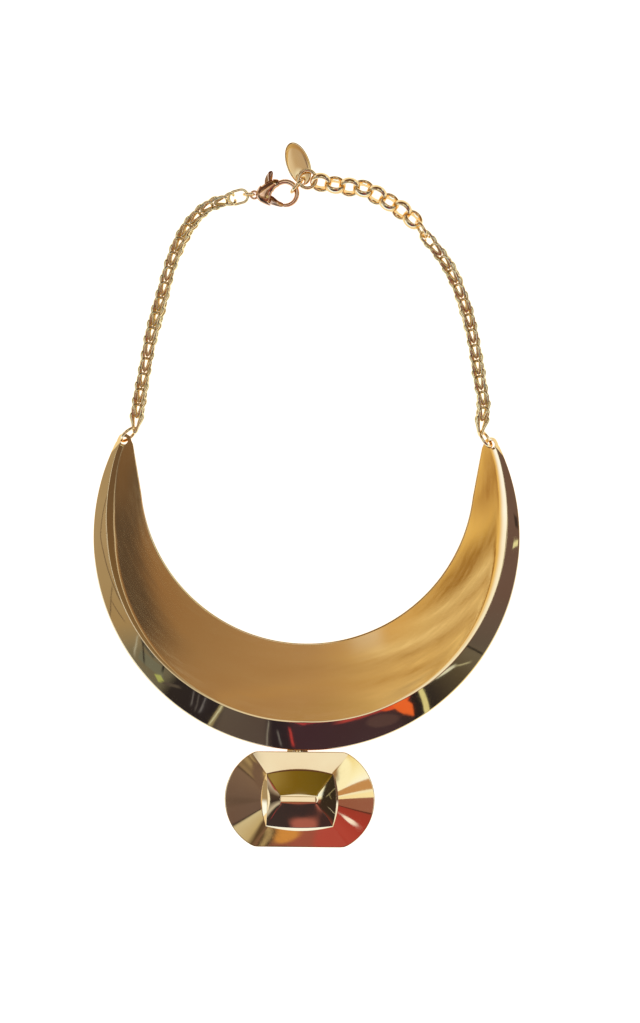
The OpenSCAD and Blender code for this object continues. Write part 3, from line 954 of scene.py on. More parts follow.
@dataclass
class Ring:
    """One jump ring or link of round or half-round wire.

    The ring stands on edge: azimuth is the way its plane runs, lean its tilt from upright.
    """

    node: str
    centre: Point3
    radius: float
    wire: float
    azimuth: float
    lean: float = 0.0
    band: float = 0.0
    slot: str = "gold_ring"
    segments: int = 20
    steps: int = 72
    # Where a band's flat side lies, as a share of half the wire's thickness
    flat: float = 0.98

    def build(self, material: bpy.types.Material) -> None:
        """Spin the wire into a ring and set it in its place.

        Args:
            material: the wire's material.
        """
        half = self.wire / 2
        bm = bmesh.new()
        section = bmesh.ops.create_circle(bm, segments=self.segments, radius=half)["verts"]
        if self.band:
            # half-round band, its flat side towards the ring's hole
            for corner in section:
                x, y = corner.co.x / half, corner.co.y / half
                corner.co.x = half * (x if x > 0 else -math.sqrt(abs(x)) * self.flat)
                corner.co.y = self.band / 2 * y
        turn_by(bm, bm.verts, 90, "X")
        bmesh.ops.translate(bm, verts=bm.verts, vec=(self.radius, 0, 0))
        bmesh.ops.spin(bm, geom=[*bm.verts, *bm.edges], cent=(0, 0, 0), axis=(0, 0, 1),
                       angle=2 * math.pi, steps=self.steps, use_merge=True)
        turn_by(bm, bm.verts, 90 - self.lean, "X")
        turn_by(bm, bm.verts, self.azimuth, "Z")
        bmesh.ops.translate(bm, verts=bm.verts, vec=self.centre)
        fit(piece_from(bm, self.node + "_wire", [material]), "collar", self.slot, self.node)


@dataclass
class LooseRings:
    """The jump rings at the horns, clasp, tag and chain, and the extender's links."""

    extender: tuple[Point2, ...] = (
        (3.7, 123.95), (8.7, 123.1), (13.7, 122.4), (18.65, 121.95), (23.2, 119.75),
        (27.6, 117.25), (31.95, 114.6), (35.85, 111.35),
    )
    end_ring: Point2 = (-1.05, 125)
    chain_ring: Point2 = (38.95, 107.9)
    link_z: float = 3.15
    link_r: float = 3.12
    link_wire: float = 1.35
    link_band: float = 2.6
    # The links lean to one side and the other in turn
    link_leans: Point2 = (45, 135)

    def build(self) -> None:
        """Build every ring in its own place."""
        material = TUMBLED.material()
        # node and centre, then radius, wire, azimuth and lean
        for ring in (
            Ring("horn_ring_left", (-62.52, 35.26, 3.5), 3.15, 1.1, 42, 20),
            Ring("horn_ring_right", (62.15, 34.93, 3.5), 3.15, 1.1, 125, 20),
            Ring("clasp_ring", (-21.4, 119.5, 2.4), 1.75, 0.9, 0, 5),
            Ring("tag_ring", (-4.65, 122.6, 3.35), 2.85, 1.05, 50, 3),
            Ring("end_ring", (*self.end_ring, 3.6), 3.12, 1.25, 90, 82),
            Ring("chain_ring", (*self.chain_ring, 3.6), 3.1, 1.15, -58, 12),
        ):
            ring.build(material)
        stops = [self.end_ring, *self.extender, self.chain_ring]
        for i, place in enumerate(self.extender):
            before, after = stops[i], stops[i + 2]
            azimuth = math.degrees(math.atan2(after[1] - before[1], after[0] - before[0]))
            link = Ring(f"extender_link_{i + 1}", (*place, self.link_z), self.link_r,
                        self.link_wire, azimuth, self.link_leans[i % 2], self.link_band)
            link.build(material)


@dataclass
class WheatChain:
    """One wheat chain: folded oval links along a route, each closed and threaded in the next."""

    node: str
    count: int
    route: tuple[Point3, ...]
    twist: tuple[Point2, ...]
    wire: float = 1.0
    slim: float = 0.9
    middle_z: float = 2.75
    fold_hitch: float = 1.5
    lobe_hitch: float = 1.95
    # A quarter of a link's wire, from the end of a lobe to the fold: along, out, across
    quarter: tuple[Point3, ...] = (
        (3.3, 1.0, 0), (3.0, 1.75, 1.15), (1.7, 2.15, 1.8), (-0.9, 1.15, 1.5), (-3.9, 0, 0.9),
    )
    # A link that is rolled over rises by up to this much
    roll_lift: float = 0.15
    route_steps: int = 12
    link_steps: int = 4
    # The route's direction is taken from points this far before and after a place
    look: float = 0.5

    def loop(self) -> list[Vector]:
        """Draw one link's wire, about the link's middle.

        Returns:
            Its smooth closed line.
        """
        quarter = self.quarter
        corners = [*quarter]
        corners += [(x, -y, z) for x, y, z in quarter[-2::-1]]
        corners += [(x, -y, -z) for x, y, z in quarter[1:]]
        corners += [(x, y, -z) for x, y, z in quarter[-2:0:-1]]
        return catmull(corners, self.link_steps, True)

    def build(self, material: bpy.types.Material) -> None:
        """Lay the links along the route and build their wire.

        Args:
            material: the wire's material.
        """
        line = catmull(self.route, self.route_steps, False)
        marks = [0.0]
        for a, b in zip(line, line[1:]):
            marks.append(marks[-1] + (b - a).length)
        tables = [[(m, p[k]) for m, p in zip(marks, line)] for k in range(3)]
        # the chain runs from the route's third point to its last but two
        first = marks[self.route_steps] - self.fold_hitch - self.quarter[-1][0]
        last = marks[self.route_steps * (len(self.route) - 4)]
        last += self.lobe_hitch - self.quarter[0][0]
        step = (last - first) / (self.count - 1)
        shape = self.loop()
        loops = []
        for i in range(self.count):
            loop = []
            for along, out, across in shape:
                if i % 2 == 0:
                    out, across = across, out
                here = first + i * step + along
                roll = math.radians(from_table(self.twist, here / marks[-1]))
                sine, cosine = math.sin(roll), math.cos(roll)
                up = self.slim * (out * cosine - across * sine)
                aside = self.slim * (out * sine + across * cosine)
                x, y, z = (from_table(table, here) for table in tables)
                up += self.middle_z + z + self.roll_lift * abs(math.sin(2 * roll))
                dx, dy = (
                    from_table(table, here + self.look) - from_table(table, here - self.look)
                    for table in tables[:2]
                )
                size = math.hypot(dx, dy)
                loop.append(Vector((x - dy / size * aside, y + dx / size * aside, up)))
            loops.append(to_frame(loop))
        piece = wire_piece(self.node + "_links", loops, self.wire / 2, material)
        fit(piece, "collar", "gold_wire", self.node)


# How far a chain's end is raised where it hangs on a ring that stands on edge
LIFT = 0.5
LEFT_ROUTE = (
    (-60.6, 29, LIFT), (-60, 34, LIFT), (-60.18, 37.36, LIFT), (-58.6, 49, 0.1), (-56.7, 60.5, 0),
    (-54.9, 70.2, 0), (-52.9, 77.6, 0), (-51.1, 84.6, 0), (-48.7, 94, 0), (-45.3, 102.6, 0),
    (-41.4, 109.4, 0), (-35.6, 115.2, 0), (-28.29, 117.65, 0), (-24.8, 118.8, 0), (-20, 119.6, 0),
)
RIGHT_ROUTE = (
    (60.2, 29, LIFT), (60.8, 34, LIFT), (60.35, 37.51, LIFT), (61.3, 47, 0.1), (60, 55, 0),
    (58.9, 62, 0), (57.4, 70, 0), (55.6, 77.5, 0), (53.3, 84.5, 0), (50.4, 91.6, 0),
    (46.6, 98, 0.1), (40.59, 105.27, LIFT), (38.5, 107.2, LIFT), (35, 110.5, LIFT),
)

# How far each chain is rolled about its own line, by the share of its length
LEFT_TWIST = ((0, 0), (0.14, 8), (0.28, -6), (0.45, 12), (0.6, -4), (0.75, 12), (0.9, -8), (1, 0))
RIGHT_TWIST = ((0, 0), (0.14, -8), (0.3, 10), (0.6, -6), (0.75, 12), (0.9, 4), (1, 0))


@dataclass
class Chains:
    """The two wheat chains and the flat oval link at the clasp."""

    left: WheatChain = field(
        default_factory=lambda: WheatChain("chain_left", 33, LEFT_ROUTE, LEFT_TWIST)
    )
    right: WheatChain = field(
        default_factory=lambda: WheatChain("chain_right", 26, RIGHT_ROUTE, RIGHT_TWIST)
    )
    oval_centre: Point3 = (-25.07, 118.58, 2.65)
    oval_turn: float = 16.0
    oval_bend: float = 2.3
    oval_straight: float = 2.1
    oval_wire: float = 1.0
    oval_steps: int = 64

    def build(self) -> None:
        """Build both chains and the oval link."""
        material = PLAITED.material()
        self.left.build(material)
        self.right.build(material)
        turn = Matrix.Rotation(math.radians(self.oval_turn), 3, "Z")
        loop = []
        for i in range(self.oval_steps):
            angle = 2 * math.pi * (i + 0.5) / self.oval_steps
            x, y = self.oval_bend * math.cos(angle), self.oval_bend * math.sin(angle)
            x += math.copysign(self.oval_straight / 2, math.cos(angle))
            loop.append(turn @ Vector((x, y, 0)) + Vector(self.oval_centre))
        piece = wire_piece("clasp_oval_link", [to_frame(loop)], self.oval_wire / 2, material,
                           resolution=6)
        fit(piece, "collar", "gold_ring", "clasp_link")


@dataclass
class Clasp:
    """The lobster clasp: eyelet, swelling body with its slot, hook and spring lever."""

    middle_z: float = 2.3
    outline_steps: int = 5
    thickness: float = 2.9
    lever_t: float = 1.4
    hook_centre: Point2 = (-8.75, 120)
    hook_r: float = 4.15
    hook_wire: float = 0.87
    hook_start: float = -97.0
    hook_sweep: float = 217.0
    hook_steps: int = 40
    # Share of the hook's thickness, by the share of its length from the tip
    hook_taper: tuple[Point2, ...] = ((0, 0.72), (0.25, 0.9), (0.6, 1.0), (1, 1.0))
    eyelet: Point2 = (-19.5, 119.4)
    eyelet_r: float = 1.27
    eyelet_wire: float = 0.78
    spine: tuple[Point2, Point2] = ((-17.6, 119.6), (-12.6, 122.9))
    # Section of the body's upper half: share of the way to the spine, share of the height
    swell: tuple[Point2, ...] = (
        (0.0, 0.25), (0.05, 0.4), (0.14, 0.52), (0.4, 0.75), (0.7, 0.93), (0.93, 1.0),
    )
    body: tuple[Point2, ...] = (
        (-18.95, 120.0), (-18.1, 121.9), (-16.5, 123.5), (-14.2, 124.8), (-11.2, 124.8),
        (-10.6, 122.9), (-12.3, 121.6), (-13.2, 119.6), (-13.3, 117.6), (-13.8, 115.8),
        (-15.4, 116.1), (-17.6, 117.2), (-18.95, 118.9),
    )
    slot: tuple[Point2, ...] = (
        (-15.9, 117.1), (-12, 115), (-12, 121), (-13.4, 120.4), (-12.9, 126), (-18.2, 126),
        (-16.4, 119.5),
    )
    slot_play: float = 0.12
    # Rounding of the lever's upper edge: how far in from its outline, how far below its face
    lever_edge: tuple[Point2, ...] = ((0, 0.4), (0.05, 0.2), (0.22, 0))
    lever: tuple[Point2, ...] = (
        (-13.3, 127.3), (-14.4, 127.2), (-15.7, 124.4), (-15.3, 120), (-15.8, 118.7),
        (-15.6, 117.6), (-13.6, 116.4), (-9.95, 115.55), (-9.55, 116.35), (-11.2, 117.2),
        (-12.9, 118.6), (-13.9, 119.6), (-13.6, 124.2),
    )

    def _plate(
        self,
        bm: bmesh.types.BMesh,
        outline: Sequence[Point2],
        levels: Sequence[Point2],
        spine: tuple[Point2, Point2] | None = None,
    ) -> None:
        """Add a solid with a smooth outline and a shaped edge.

        Args:
            bm: the mesh to add to.
            outline: its corners, in order.
            levels: how far in from the outline, and how high, each ring lies. With a spine
                the first is a share of the way to it.
            spine: line on which the solid's two faces rise to a ridge, or None.
        """
        line = catmull([(*p, 0) for p in outline], self.outline_steps, True)
        count = len(line)
        rings = []
        for inset, height in levels:
            ring = []
            for i, point in enumerate(line):
                if spine is None:
                    way = (line[(i + 1) % count] - line[i - 1]).normalized()
                    moved = point + Vector((way.y, -way.x, 0)) * inset
                else:
                    a, b = (Vector((*p, 0)) for p in spine)
                    t = min(1.0, max(0.0, (point - a).dot(b - a) / (b - a).length_squared))
                    moved = point.lerp(a.lerp(b, t), inset)
                ring.append((moved.x, moved.y, self.middle_z + height))
            rings.append(ring)
        loft(bm, rings)

    def build(self) -> None:
        """Build the clasp's shell, hook, eyelet and lever."""
        material = CAST.material()
        self._build_shell(material)
        self._build_hook(material)
        eyelet = Ring("clasp_body", (*self.eyelet, self.middle_z), self.eyelet_r,
                      self.eyelet_wire, azimuth=0, lean=90, slot="gold_clasp")
        eyelet.build(material)
        h = self.lever_t / 2
        edge = [(inset, h - down) for inset, down in self.lever_edge]
        bm = bmesh.new()
        self._plate(bm, self.lever, [(inset, -z) for inset, z in reversed(edge)] + edge)
        fit(piece_from(bm, "clasp_gate", [material]), "lever", "gold_clasp", "clasp_lever")

    def _build_shell(self, material: bpy.types.Material) -> None:
        """Build the swelling body with the lever's slot cut through it.

        Args:
            material: the clasp's material.
        """
        top = [(share, rise * self.thickness / 2) for share, rise in self.swell]
        bottom = [(share, -z) for share, z in reversed(top)]
        bm = bmesh.new()
        self._plate(bm, self.body, bottom + top, self.spine)
        body = piece_from(bm, "clasp_shell", [material])
        half = self.lever_t / 2 + self.slot_play
        levels = (self.middle_z - half, self.middle_z + half)
        cutter = bmesh.new()
        loft(cutter, [[(*p, z) for p in self.slot] for z in levels])
        carve(body, cutter)
        fit(body, "collar", "gold_clasp", "clasp_body")

    def _build_hook(self, material: bpy.types.Material) -> None:
        """Build the hook, thinner towards its tip.

        Args:
            material: the clasp's material.
        """
        arc, widths = [], []
        for i in range(self.hook_steps + 1):
            share = i / self.hook_steps
            a = math.radians(self.hook_start + self.hook_sweep * share)
            x, y = self.hook_r * math.cos(a), self.hook_r * math.sin(a)
            arc.append(Vector((self.hook_centre[0] + x, self.hook_centre[1] + y, self.middle_z)))
            widths.append(from_table(self.hook_taper, share))
        hook = wire_piece("clasp_hook", [to_frame(arc)], self.hook_wire, material,
                          cyclic=False, resolution=6, widths=widths)
        fit(hook, "collar", "gold_clasp")


@dataclass
class Tag:
    """The small oval tag, its face left bare."""

    centre: Point3 = (-4.3, 130.5, 0.1)
    half: Point2 = (4.1, 7.9)
    turn: float = 20.0
    pitch: float = 5.0
    thickness: float = 0.8
    hole: Point2 = (-1.1, -6.2)
    hole_r: float = 1.1
    dome: float = 0.0035
    face_rings: int = 5
    corners: int = 72
    # How far the rounding of the hole reaches over the back and over the face
    hole_round: Point2 = (0.12, 0.3)

    def _ring(self, out: float, z: float, hole: bool = False) -> list[Point3]:
        """Draw a ring of corners along the tag's edge or round its hole.

        Args:
            out: how far the ring lies outside that line.
            z: its height.
            hole: True where it goes round the hole.

        Returns:
            The corners.
        """
        x, y = self.hole if hole else (0, 0)
        rx, ry = (self.hole_r, self.hole_r) if hole else self.half
        turns = [2 * math.pi * i / self.corners for i in range(self.corners)]
        return [(x + (rx + out) * math.cos(a), y + (ry + out) * math.sin(a), z) for a in turns]

    def build(self) -> None:
        """Build the tag with a faintly domed face and rounded edges."""
        t = self.thickness
        start, inner = (self._ring(out, 0, hole=True) for out in self.hole_round)
        rings = [start]
        # from the back up: how far outside the outline, and how high, each ring lies
        for out, z in ((-0.15, 0), (-0.03, 0.12), (0, 0.3), (0, t - 0.3), (-0.05, t - 0.18),
                       (-0.2, t - 0.09), (-0.5, t - 0.06)):
            rings.append(self._ring(out, z))
        outer = rings[-1]
        for k in range(1, self.face_rings + 1):
            s = k / (self.face_rings + 1)
            flat = [[p + (q - p) * s for p, q in zip(a[:2], b[:2])] for a, b in zip(outer, inner)]
            rings.append([(x, y, t - self.dome * (x * x + (y / 2) ** 2)) for x, y in flat])
        # and down through the hole
        for out, z in ((0.2, t - 0.06), (0.05, t - 0.15), (0, t - 0.25), (0, 0.1)):
            rings.append(self._ring(out, z, hole=True))
        bm = bmesh.new()
        loft(bm, [*rings, start], closed=True)
        bmesh.ops.translate(bm, verts=bm.verts, vec=(0, -self.half[1], 0))
        turn_by(bm, bm.verts, -self.pitch, "X")
        bmesh.ops.translate(bm, verts=bm.verts, vec=(0, self.half[1], 0))
        turn_by(bm, bm.verts, self.turn, "Z")
        bmesh.ops.translate(bm, verts=bm.verts, vec=self.centre)
        fit(piece_from(bm, "tag_blank", [MIRROR.material()]), "collar", "gold_plate", "tag")


class Shape(Enum):
    """Outline of a card in the studio."""

    BOX = "box"
    OVAL = "oval"


class Space(Enum):
    """What a card's place is measured in.

    TILT is the slope of metal, seen from above, that mirrors the card into the camera. RING
    is hundreds of degrees round from the bottom of the page, and the size of that slope.
    """

    TILT = "tilt"
    RING = "ring"


@dataclass(frozen=True)
class Card:
    """A soft-edged card, wall or lamp, placed by the slope of the metal that mirrors it.

    It hides a share of what is behind it.
    """

    look: str
    at: Point2
    half: Point2
    turn: float = 0.0
    soft: float = 0.3
    share: float = 1.0
    shape: Shape = Shape.BOX
    space: Space = Space.TILT


@dataclass(frozen=True)
class Band:
    """What metal from a slope upwards mirrors, by degrees anticlockwise from the right.

    Its edge, where it takes over from the band before it, is soft by this much to both sides.
    """

    start: float
    soft: float
    stops: tuple[tuple[float, str], ...]


BANDS = (
    # overhead, mirrored by flat metal and by the strip inside the crest
    Band(0.0, 0.0, (
        (0, "#6a4e30"), (40, "#74552f"), (62, "#86663c"), (80, "#e0c898"), (120, "#f4e4b8"),
        (145, "#fff0c8"), (180, "#fff8e4"), (215, "#ffeec0"), (250, "#c8a468"),
        (300, "#7a5c34"), (360, "#6a4e30"),
    )),
    # edge of the overhead panel: a thin light line between strip and field
    Band(0.137, 0.003, (
        (0, "#e0c898"), (60, "#d8b880"), (90, "#e8cc98"), (120, "#f4dca0"), (180, "#fff8e4"),
        (240, "#e8cc90"), (360, "#e0c898"),
    )),
    # the field
    Band(0.144, 0.003, (
        (0, "#8a6238"), (23, "#96693a"), (45, "#94693a"), (60, "#9a7040"), (90, "#ae814b"),
        (105, "#bb8c4c"), (120, "#cc9850"), (145, "#deaa58"), (165, "#e2ae58"),
        (200, "#d8a04a"), (225, "#7a4a30"), (290, "#7c3c2a"), (335, "#8e6236"),
        (360, "#8a6238"),
    )),
    # the plaque's facets
    Band(0.210, 0.004, (
        (0, "#f8e6ac"), (12, "#fffadc"), (28, "#fff0b8"), (48, "#f4d888"), (56, "#e8c070"),
        (64, "#f2deb4"), (98, "#f2deb4"), (104, "#5a3e2c"), (122, "#4a3020"), (126, "#b89a68"),
        (131, "#6a5030"), (136, "#a88a58"), (141, "#7c6240"), (147, "#94764e"),
        (149, "#4a3826"), (151, "#7a5e46"), (180, "#6e5440"), (216, "#6c5240"),
        (218, "#382a20"), (220, "#cdb684"), (238, "#bfa46c"), (243, "#5a4228"),
        (262, "#7a5a3c"), (275, "#a8483a"), (300, "#b04434"), (315, "#a83c2c"),
        (333, "#9c3a2a"), (340, "#8c4c36"), (352, "#965a3c"), (360, "#f8e6ac"),
    )),
    # the cushion's facets
    Band(0.335, 0.006, (
        (0, "#352a1c"), (30, "#3a2e1c"), (60, "#2c2410"), (76, "#382c12"), (84, "#6a5014"),
        (92, "#7a5c16"), (98, "#9a7c38"), (104, "#5a4224"), (140, "#5a4030"), (155, "#bca484"),
        (168, "#8a7458"), (176, "#4c3a2a"), (190, "#3a2c22"), (205, "#c8b490"),
        (215, "#3c3026"), (250, "#40342c"), (270, "#3a2c28"), (290, "#4a2a22"),
        (310, "#8a3c2c"), (325, "#3a2c20"), (360, "#352a1c"),
    )),
    # the crescent's outer facet, and above it what wire and clasp mirror
    Band(0.47, 0.01, (
        (0, "#6a4f3f"), (28, "#6c513e"), (32, "#4a3018"), (60, "#6a4422"), (90, "#5a381a"),
        (120, "#7a5028"), (149, "#6a4a28"), (152, "#a88a5c"), (180, "#a98c5e"),
        (205, "#a08050"), (211, "#8c7650"), (214, "#786a4c"), (226, "#685e46"),
        (229, "#2e2620"), (244, "#2a2220"), (245, "#5a4c3e"), (259, "#54453a"),
        (261, "#2c2222"), (266, "#302424"), (268, "#40292b"), (296, "#44302e"),
        (299, "#352824"), (308, "#332a22"), (318, "#54462f"), (326, "#6a5c44"),
        (328, "#5e5040"), (345, "#6a5040"), (360, "#6a4f3f"),
    )),
    # low walls, mirrored by round wire and by the cushion's flanks
    Band(0.725, 0.012, (
        (0, "#fffae0"), (38, "#fff6d4"), (52, "#7a5030"), (90, "#5c3c24"), (128, "#7a5030"),
        (142, "#fff6d4"), (180, "#fffae0"), (270, "#fff8dc"), (320, "#f4d894"),
        (360, "#fffae0"),
    )),
)


def streaks(
    space: Space, soft: float, rows: Iterable[tuple[str, Point2, Point2, float]], share: float = 1.0
) -> list[Card]:
    """Describe long thin cards by their two ends.

    Args:
        space: what their places are measured in.
        soft: how soft their edges are.
        rows: the colour, the two ends and the width of each.
        share: how much of what is behind them they hide.

    Returns:
        The cards.
    """
    cards = []
    for look, start, end, width in rows:
        along = Vector(end) - Vector(start)
        middle = (Vector(end) + Vector(start)) / 2
        turn = math.degrees(math.atan2(along.y, along.x))
        half = (along.length / 2, width / 2)
        cards.append(Card(look, tuple(middle), half, turn, soft, share, space=space))
    return cards


def ring_card(look: str, at: Point2, half: Point2, turn: float = 0.0, **more) -> Card:
    """Describe a card whose place is measured round the crescent."""
    return Card(look, at, half, turn, space=Space.RING, **more)


def oval_card(look: str, at: Point2, half: Point2, turn: float = 0.0, **more) -> Card:
    """Describe an oval card."""
    return Card(look, at, half, turn, shape=Shape.OVAL, **more)


# Hung in order, each in front of those above it in the list
CARDS = (
    # above the ridge of the cushion, and the ceiling over the tag
    oval_card("#f4dcb0", (0, -0.035), (0.06, 0.05), soft=0.3),
    Card("#bb9768", (-0.032, 0.132), (0.024, 0.016), soft=0.5),
    Card("#dcc094", (-0.056, 0.132), (0.010, 0.016), soft=0.8),
    Card("#7c5c40", (-0.004, 0.132), (0.008, 0.016), soft=0.6),
    # the dark room that the left field shows beside the crest, and the bright one on the right
    *streaks(Space.RING, 0.4, [("#58432c", (0.85, 0.150), (1.42, 0.190), 0.032)]),
    ring_card("#74522e", (0.86, 0.164), (0.15, 0.012), soft=0.6, share=0.8),
    ring_card("#fcd888", (-1.20, 0.186), (0.34, 0.015), soft=0.7, share=0.95),
    ring_card("#e8b458", (-1.05, 0.152), (0.38, 0.030), soft=0.85),
    # the same walls a little lower, where the plaque's ends meet its other facets
    ring_card("#fff0b8", (1.16, 0.2045), (0.34, 0.0095), soft=0.2),
    ring_card("#70543e", (-1.20, 0.2045), (0.36, 0.0095), soft=0.2),
    # dark and light streaks across the right field
    *streaks(Space.RING, 0.9, (
        ("#8e5a18", (-1.00, 0.170), (-1.38, 0.158), 0.007),
        ("#9a6624", (-0.96, 0.182), (-1.44, 0.166), 0.006),
        ("#8e5a18", (-1.12, 0.161), (-1.32, 0.154), 0.007),
        ("#9c6a28", (-1.20, 0.184), (-1.60, 0.172), 0.006),
        ("#9c6628", (-0.82, 0.164), (-1.02, 0.156), 0.010),
        ("#a8742c", (-1.32, 0.192), (-1.64, 0.182), 0.005),
    )),
    *streaks(Space.RING, 0.9, (
        ("#ffdc90", (-1.05, 0.176), (-1.40, 0.163), 0.004),
        ("#ffdc90", (-1.25, 0.178), (-1.55, 0.167), 0.004),
    ), share=0.8),
    # what the horn tips mirror
    ring_card("#a88a5c", (-1.04, 0.86), (0.20, 0.24), soft=0.15),
    ring_card("#6c513e", (1.04, 0.86), (0.20, 0.24), soft=0.15),
    # faint arcs in the lower field
    oval_card("#a47842", (0.01, 0.169), (0.060, 0.0025), 3, soft=0.9, share=0.7),
    oval_card("#b88848", (0.02, 0.181), (0.060, 0.003), 4, soft=0.9, share=0.7),
    oval_card("#a8803f", (-0.03, 0.190), (0.045, 0.003), 6, soft=0.9, share=0.6),
    # right end of the plaque: tan curtain, cream rail, brown board, red chair with its light
    Card("#c48c50", (0.23, 0.04), (0.05, 0.022), -16, soft=0.12),
    Card("#fbe2a0", (0.235, -0.012), (0.05, 0.013), -10, soft=0.2),
    Card("#965a40", (0.235, -0.066), (0.06, 0.040), -6, soft=0.05),
    Card("#4a2418", (0.23, -0.108), (0.06, 0.003), -4, soft=0.5),
    oval_card("#ffe8c8", (0.191, -0.178), (0.0065, 0.015), -44, soft=0.25),
    oval_card("#5c4634", (-0.243, -0.051), (0.010, 0.022), soft=0.9, share=0.7),
    # tall lights at both sides, for the chains
    *(
        ring_card(look, (side * 0.90, slope), half, soft=0.3)
        for look, slope, half in (
            ("#fff4d0", 0.298, (0.20, 0.020)), ("#ffe8b8", 0.470, (0.24, 0.011)),
        )
        for side in (1, -1)
    ),
    # red wall that the clasp shows
    Card("#a04434", (-0.30, 0.185), (0.045, 0.045), soft=0.4),
    # below the plaque: dark stripes, khaki, the orange lamp and the red wall
    Card("#b04838", (0.026, -0.31), (0.022, 0.05), soft=0.1),
    Card("#9a503c", (0.0, -0.31), (0.008, 0.05), soft=0.3),
    oval_card("#cf8a3e", (-0.0125, -0.305), (0.0085, 0.02), -14, soft=0.2),
    *(
        Card(look, (x, -0.31), (half, 0.05), -14, soft=0.3)
        for look, x, half in (
            ("#3c2e22", -0.0225, 0.0018), ("#b89a62", -0.0262, 0.0022), ("#40301f", -0.03, 0.0018),
        )
    ),
    # in the cushion: terracotta below, a scribble of light on the right
    oval_card("#a85c48", (0.008, -0.407), (0.028, 0.012), soft=0.3),
    *streaks(Space.TILT, 0.5, (
        ("#a89868", (0.36, 0.02), (0.39, 0.09), 0.006),
        ("#988858", (0.39, -0.02), (0.37, 0.05), 0.004),
        ("#c8b890", (0.35, -0.14), (0.37, -0.19), 0.005),
    )),
    # crescent's outer facet, from the left: lines on the tan wall
    *streaks(Space.RING, 0.5, [("#6a5238", (-1.1, 0.545), (-0.62, 0.545), 0.008)]),
    *streaks(Space.RING, 0.4, (
        ("#5c4630", (-0.76, 0.56), (-0.70, 0.64), 0.004),
        ("#5c4630", (-0.70, 0.64), (-0.665, 0.70), 0.004),
        ("#5c4630", (-0.715, 0.615), (-0.655, 0.60), 0.005),
    )),
    # grey-olive panes with light lines
    ring_card("#57503e", (-0.545, 0.56), (0.035, 0.03), 12, soft=0.12),
    ring_card("#6f6a52", (-0.50, 0.63), (0.05, 0.03), -20, soft=0.1),
    *streaks(Space.RING, 0.4, (
        ("#a89c7c", (-0.60, 0.58), (-0.55, 0.68), 0.006),
        ("#33291f", (-0.585, 0.56), (-0.52, 0.66), 0.006),
        ("#b0a684", (-0.535, 0.58), (-0.475, 0.56), 0.005),
        ("#2c241c", (-0.49, 0.53), (-0.46, 0.61), 0.008),
    )),
    ring_card("#a8a858", (-0.452, 0.655), (0.014, 0.016), 30, soft=0.2),
    *streaks(Space.RING, 0.3, [("#54483a", (-0.44, 0.66), (-0.39, 0.60), 0.012)]),
    # dark doorway with wavy grey lines, and its yellow jamb
    *streaks(Space.RING, 0.4, (
        ("#6c645c", (-0.345, 0.56), (-0.335, 0.64), 0.004),
        ("#5c544c", (-0.325, 0.55), (-0.318, 0.65), 0.004),
        ("#77706a", (-0.300, 0.54), (-0.305, 0.64), 0.004),
    )),
    ring_card("#907e54", (-0.262, 0.60), (0.007, 0.09), 3, soft=0.12),
    *streaks(Space.RING, 0.4, (
        ("#e0d8a8", (-0.256, 0.53), (-0.268, 0.67), 0.003),
        ("#8c8270", (-0.098, 0.53), (-0.103, 0.68), 0.004),
        ("#6e665e", (-0.070, 0.57), (-0.062, 0.64), 0.005),
    )),
    # red line beside it, then plum wall, red cloth along the crest, orange lamp
    *streaks(Space.RING, 0.3, (
        ("#b43c34", (-0.030, 0.54), (-0.028, 0.63), 0.007),
        ("#a83c38", (-0.03, 0.502), (0.11, 0.514), 0.010),
        ("#b84438", (0.09, 0.526), (0.33, 0.545), 0.024),
    )),
    oval_card("#594038", (0.225, 0.60), (0.055, 0.030), 35, soft=0.2, share=0.8, space=Space.RING),
    oval_card("#e0582c", (0.272, 0.545), (0.045, 0.020), 12, soft=0.15, space=Space.RING),
    oval_card("#e8662c", (0.298, 0.590), (0.080, 0.017), 74, soft=0.15, space=Space.RING),
    ring_card("#2a211c", (0.335, 0.60), (0.018, 0.10), 6, soft=0.1),
    ring_card("#d8c880", (0.357, 0.60), (0.0085, 0.10), 5, soft=0.15),
    # a curved light line, and the dark panes behind it
    *streaks(Space.RING, 0.35, (
        ("#cfc59a", (0.375, 0.530), (0.43, 0.57), 0.017),
        ("#d8cfa8", (0.43, 0.57), (0.495, 0.60), 0.015),
    )),
    *streaks(Space.RING, 0.5, (
        ("#a89c70", (0.495, 0.60), (0.53, 0.66), 0.007),
        ("#b0a684", (0.44, 0.54), (0.52, 0.545), 0.006),
    )),
    *streaks(Space.RING, 0.3, [("#2e261c", (0.572, 0.52), (0.566, 0.70), 0.006)]),
    # far right: a small window and a smudge
    ring_card("#e8dc98", (0.887, 0.578), (0.007, 0.024), soft=0.2),
    ring_card("#3c2e24", (0.940, 0.600), (0.016, 0.016), 8, soft=0.4),
)


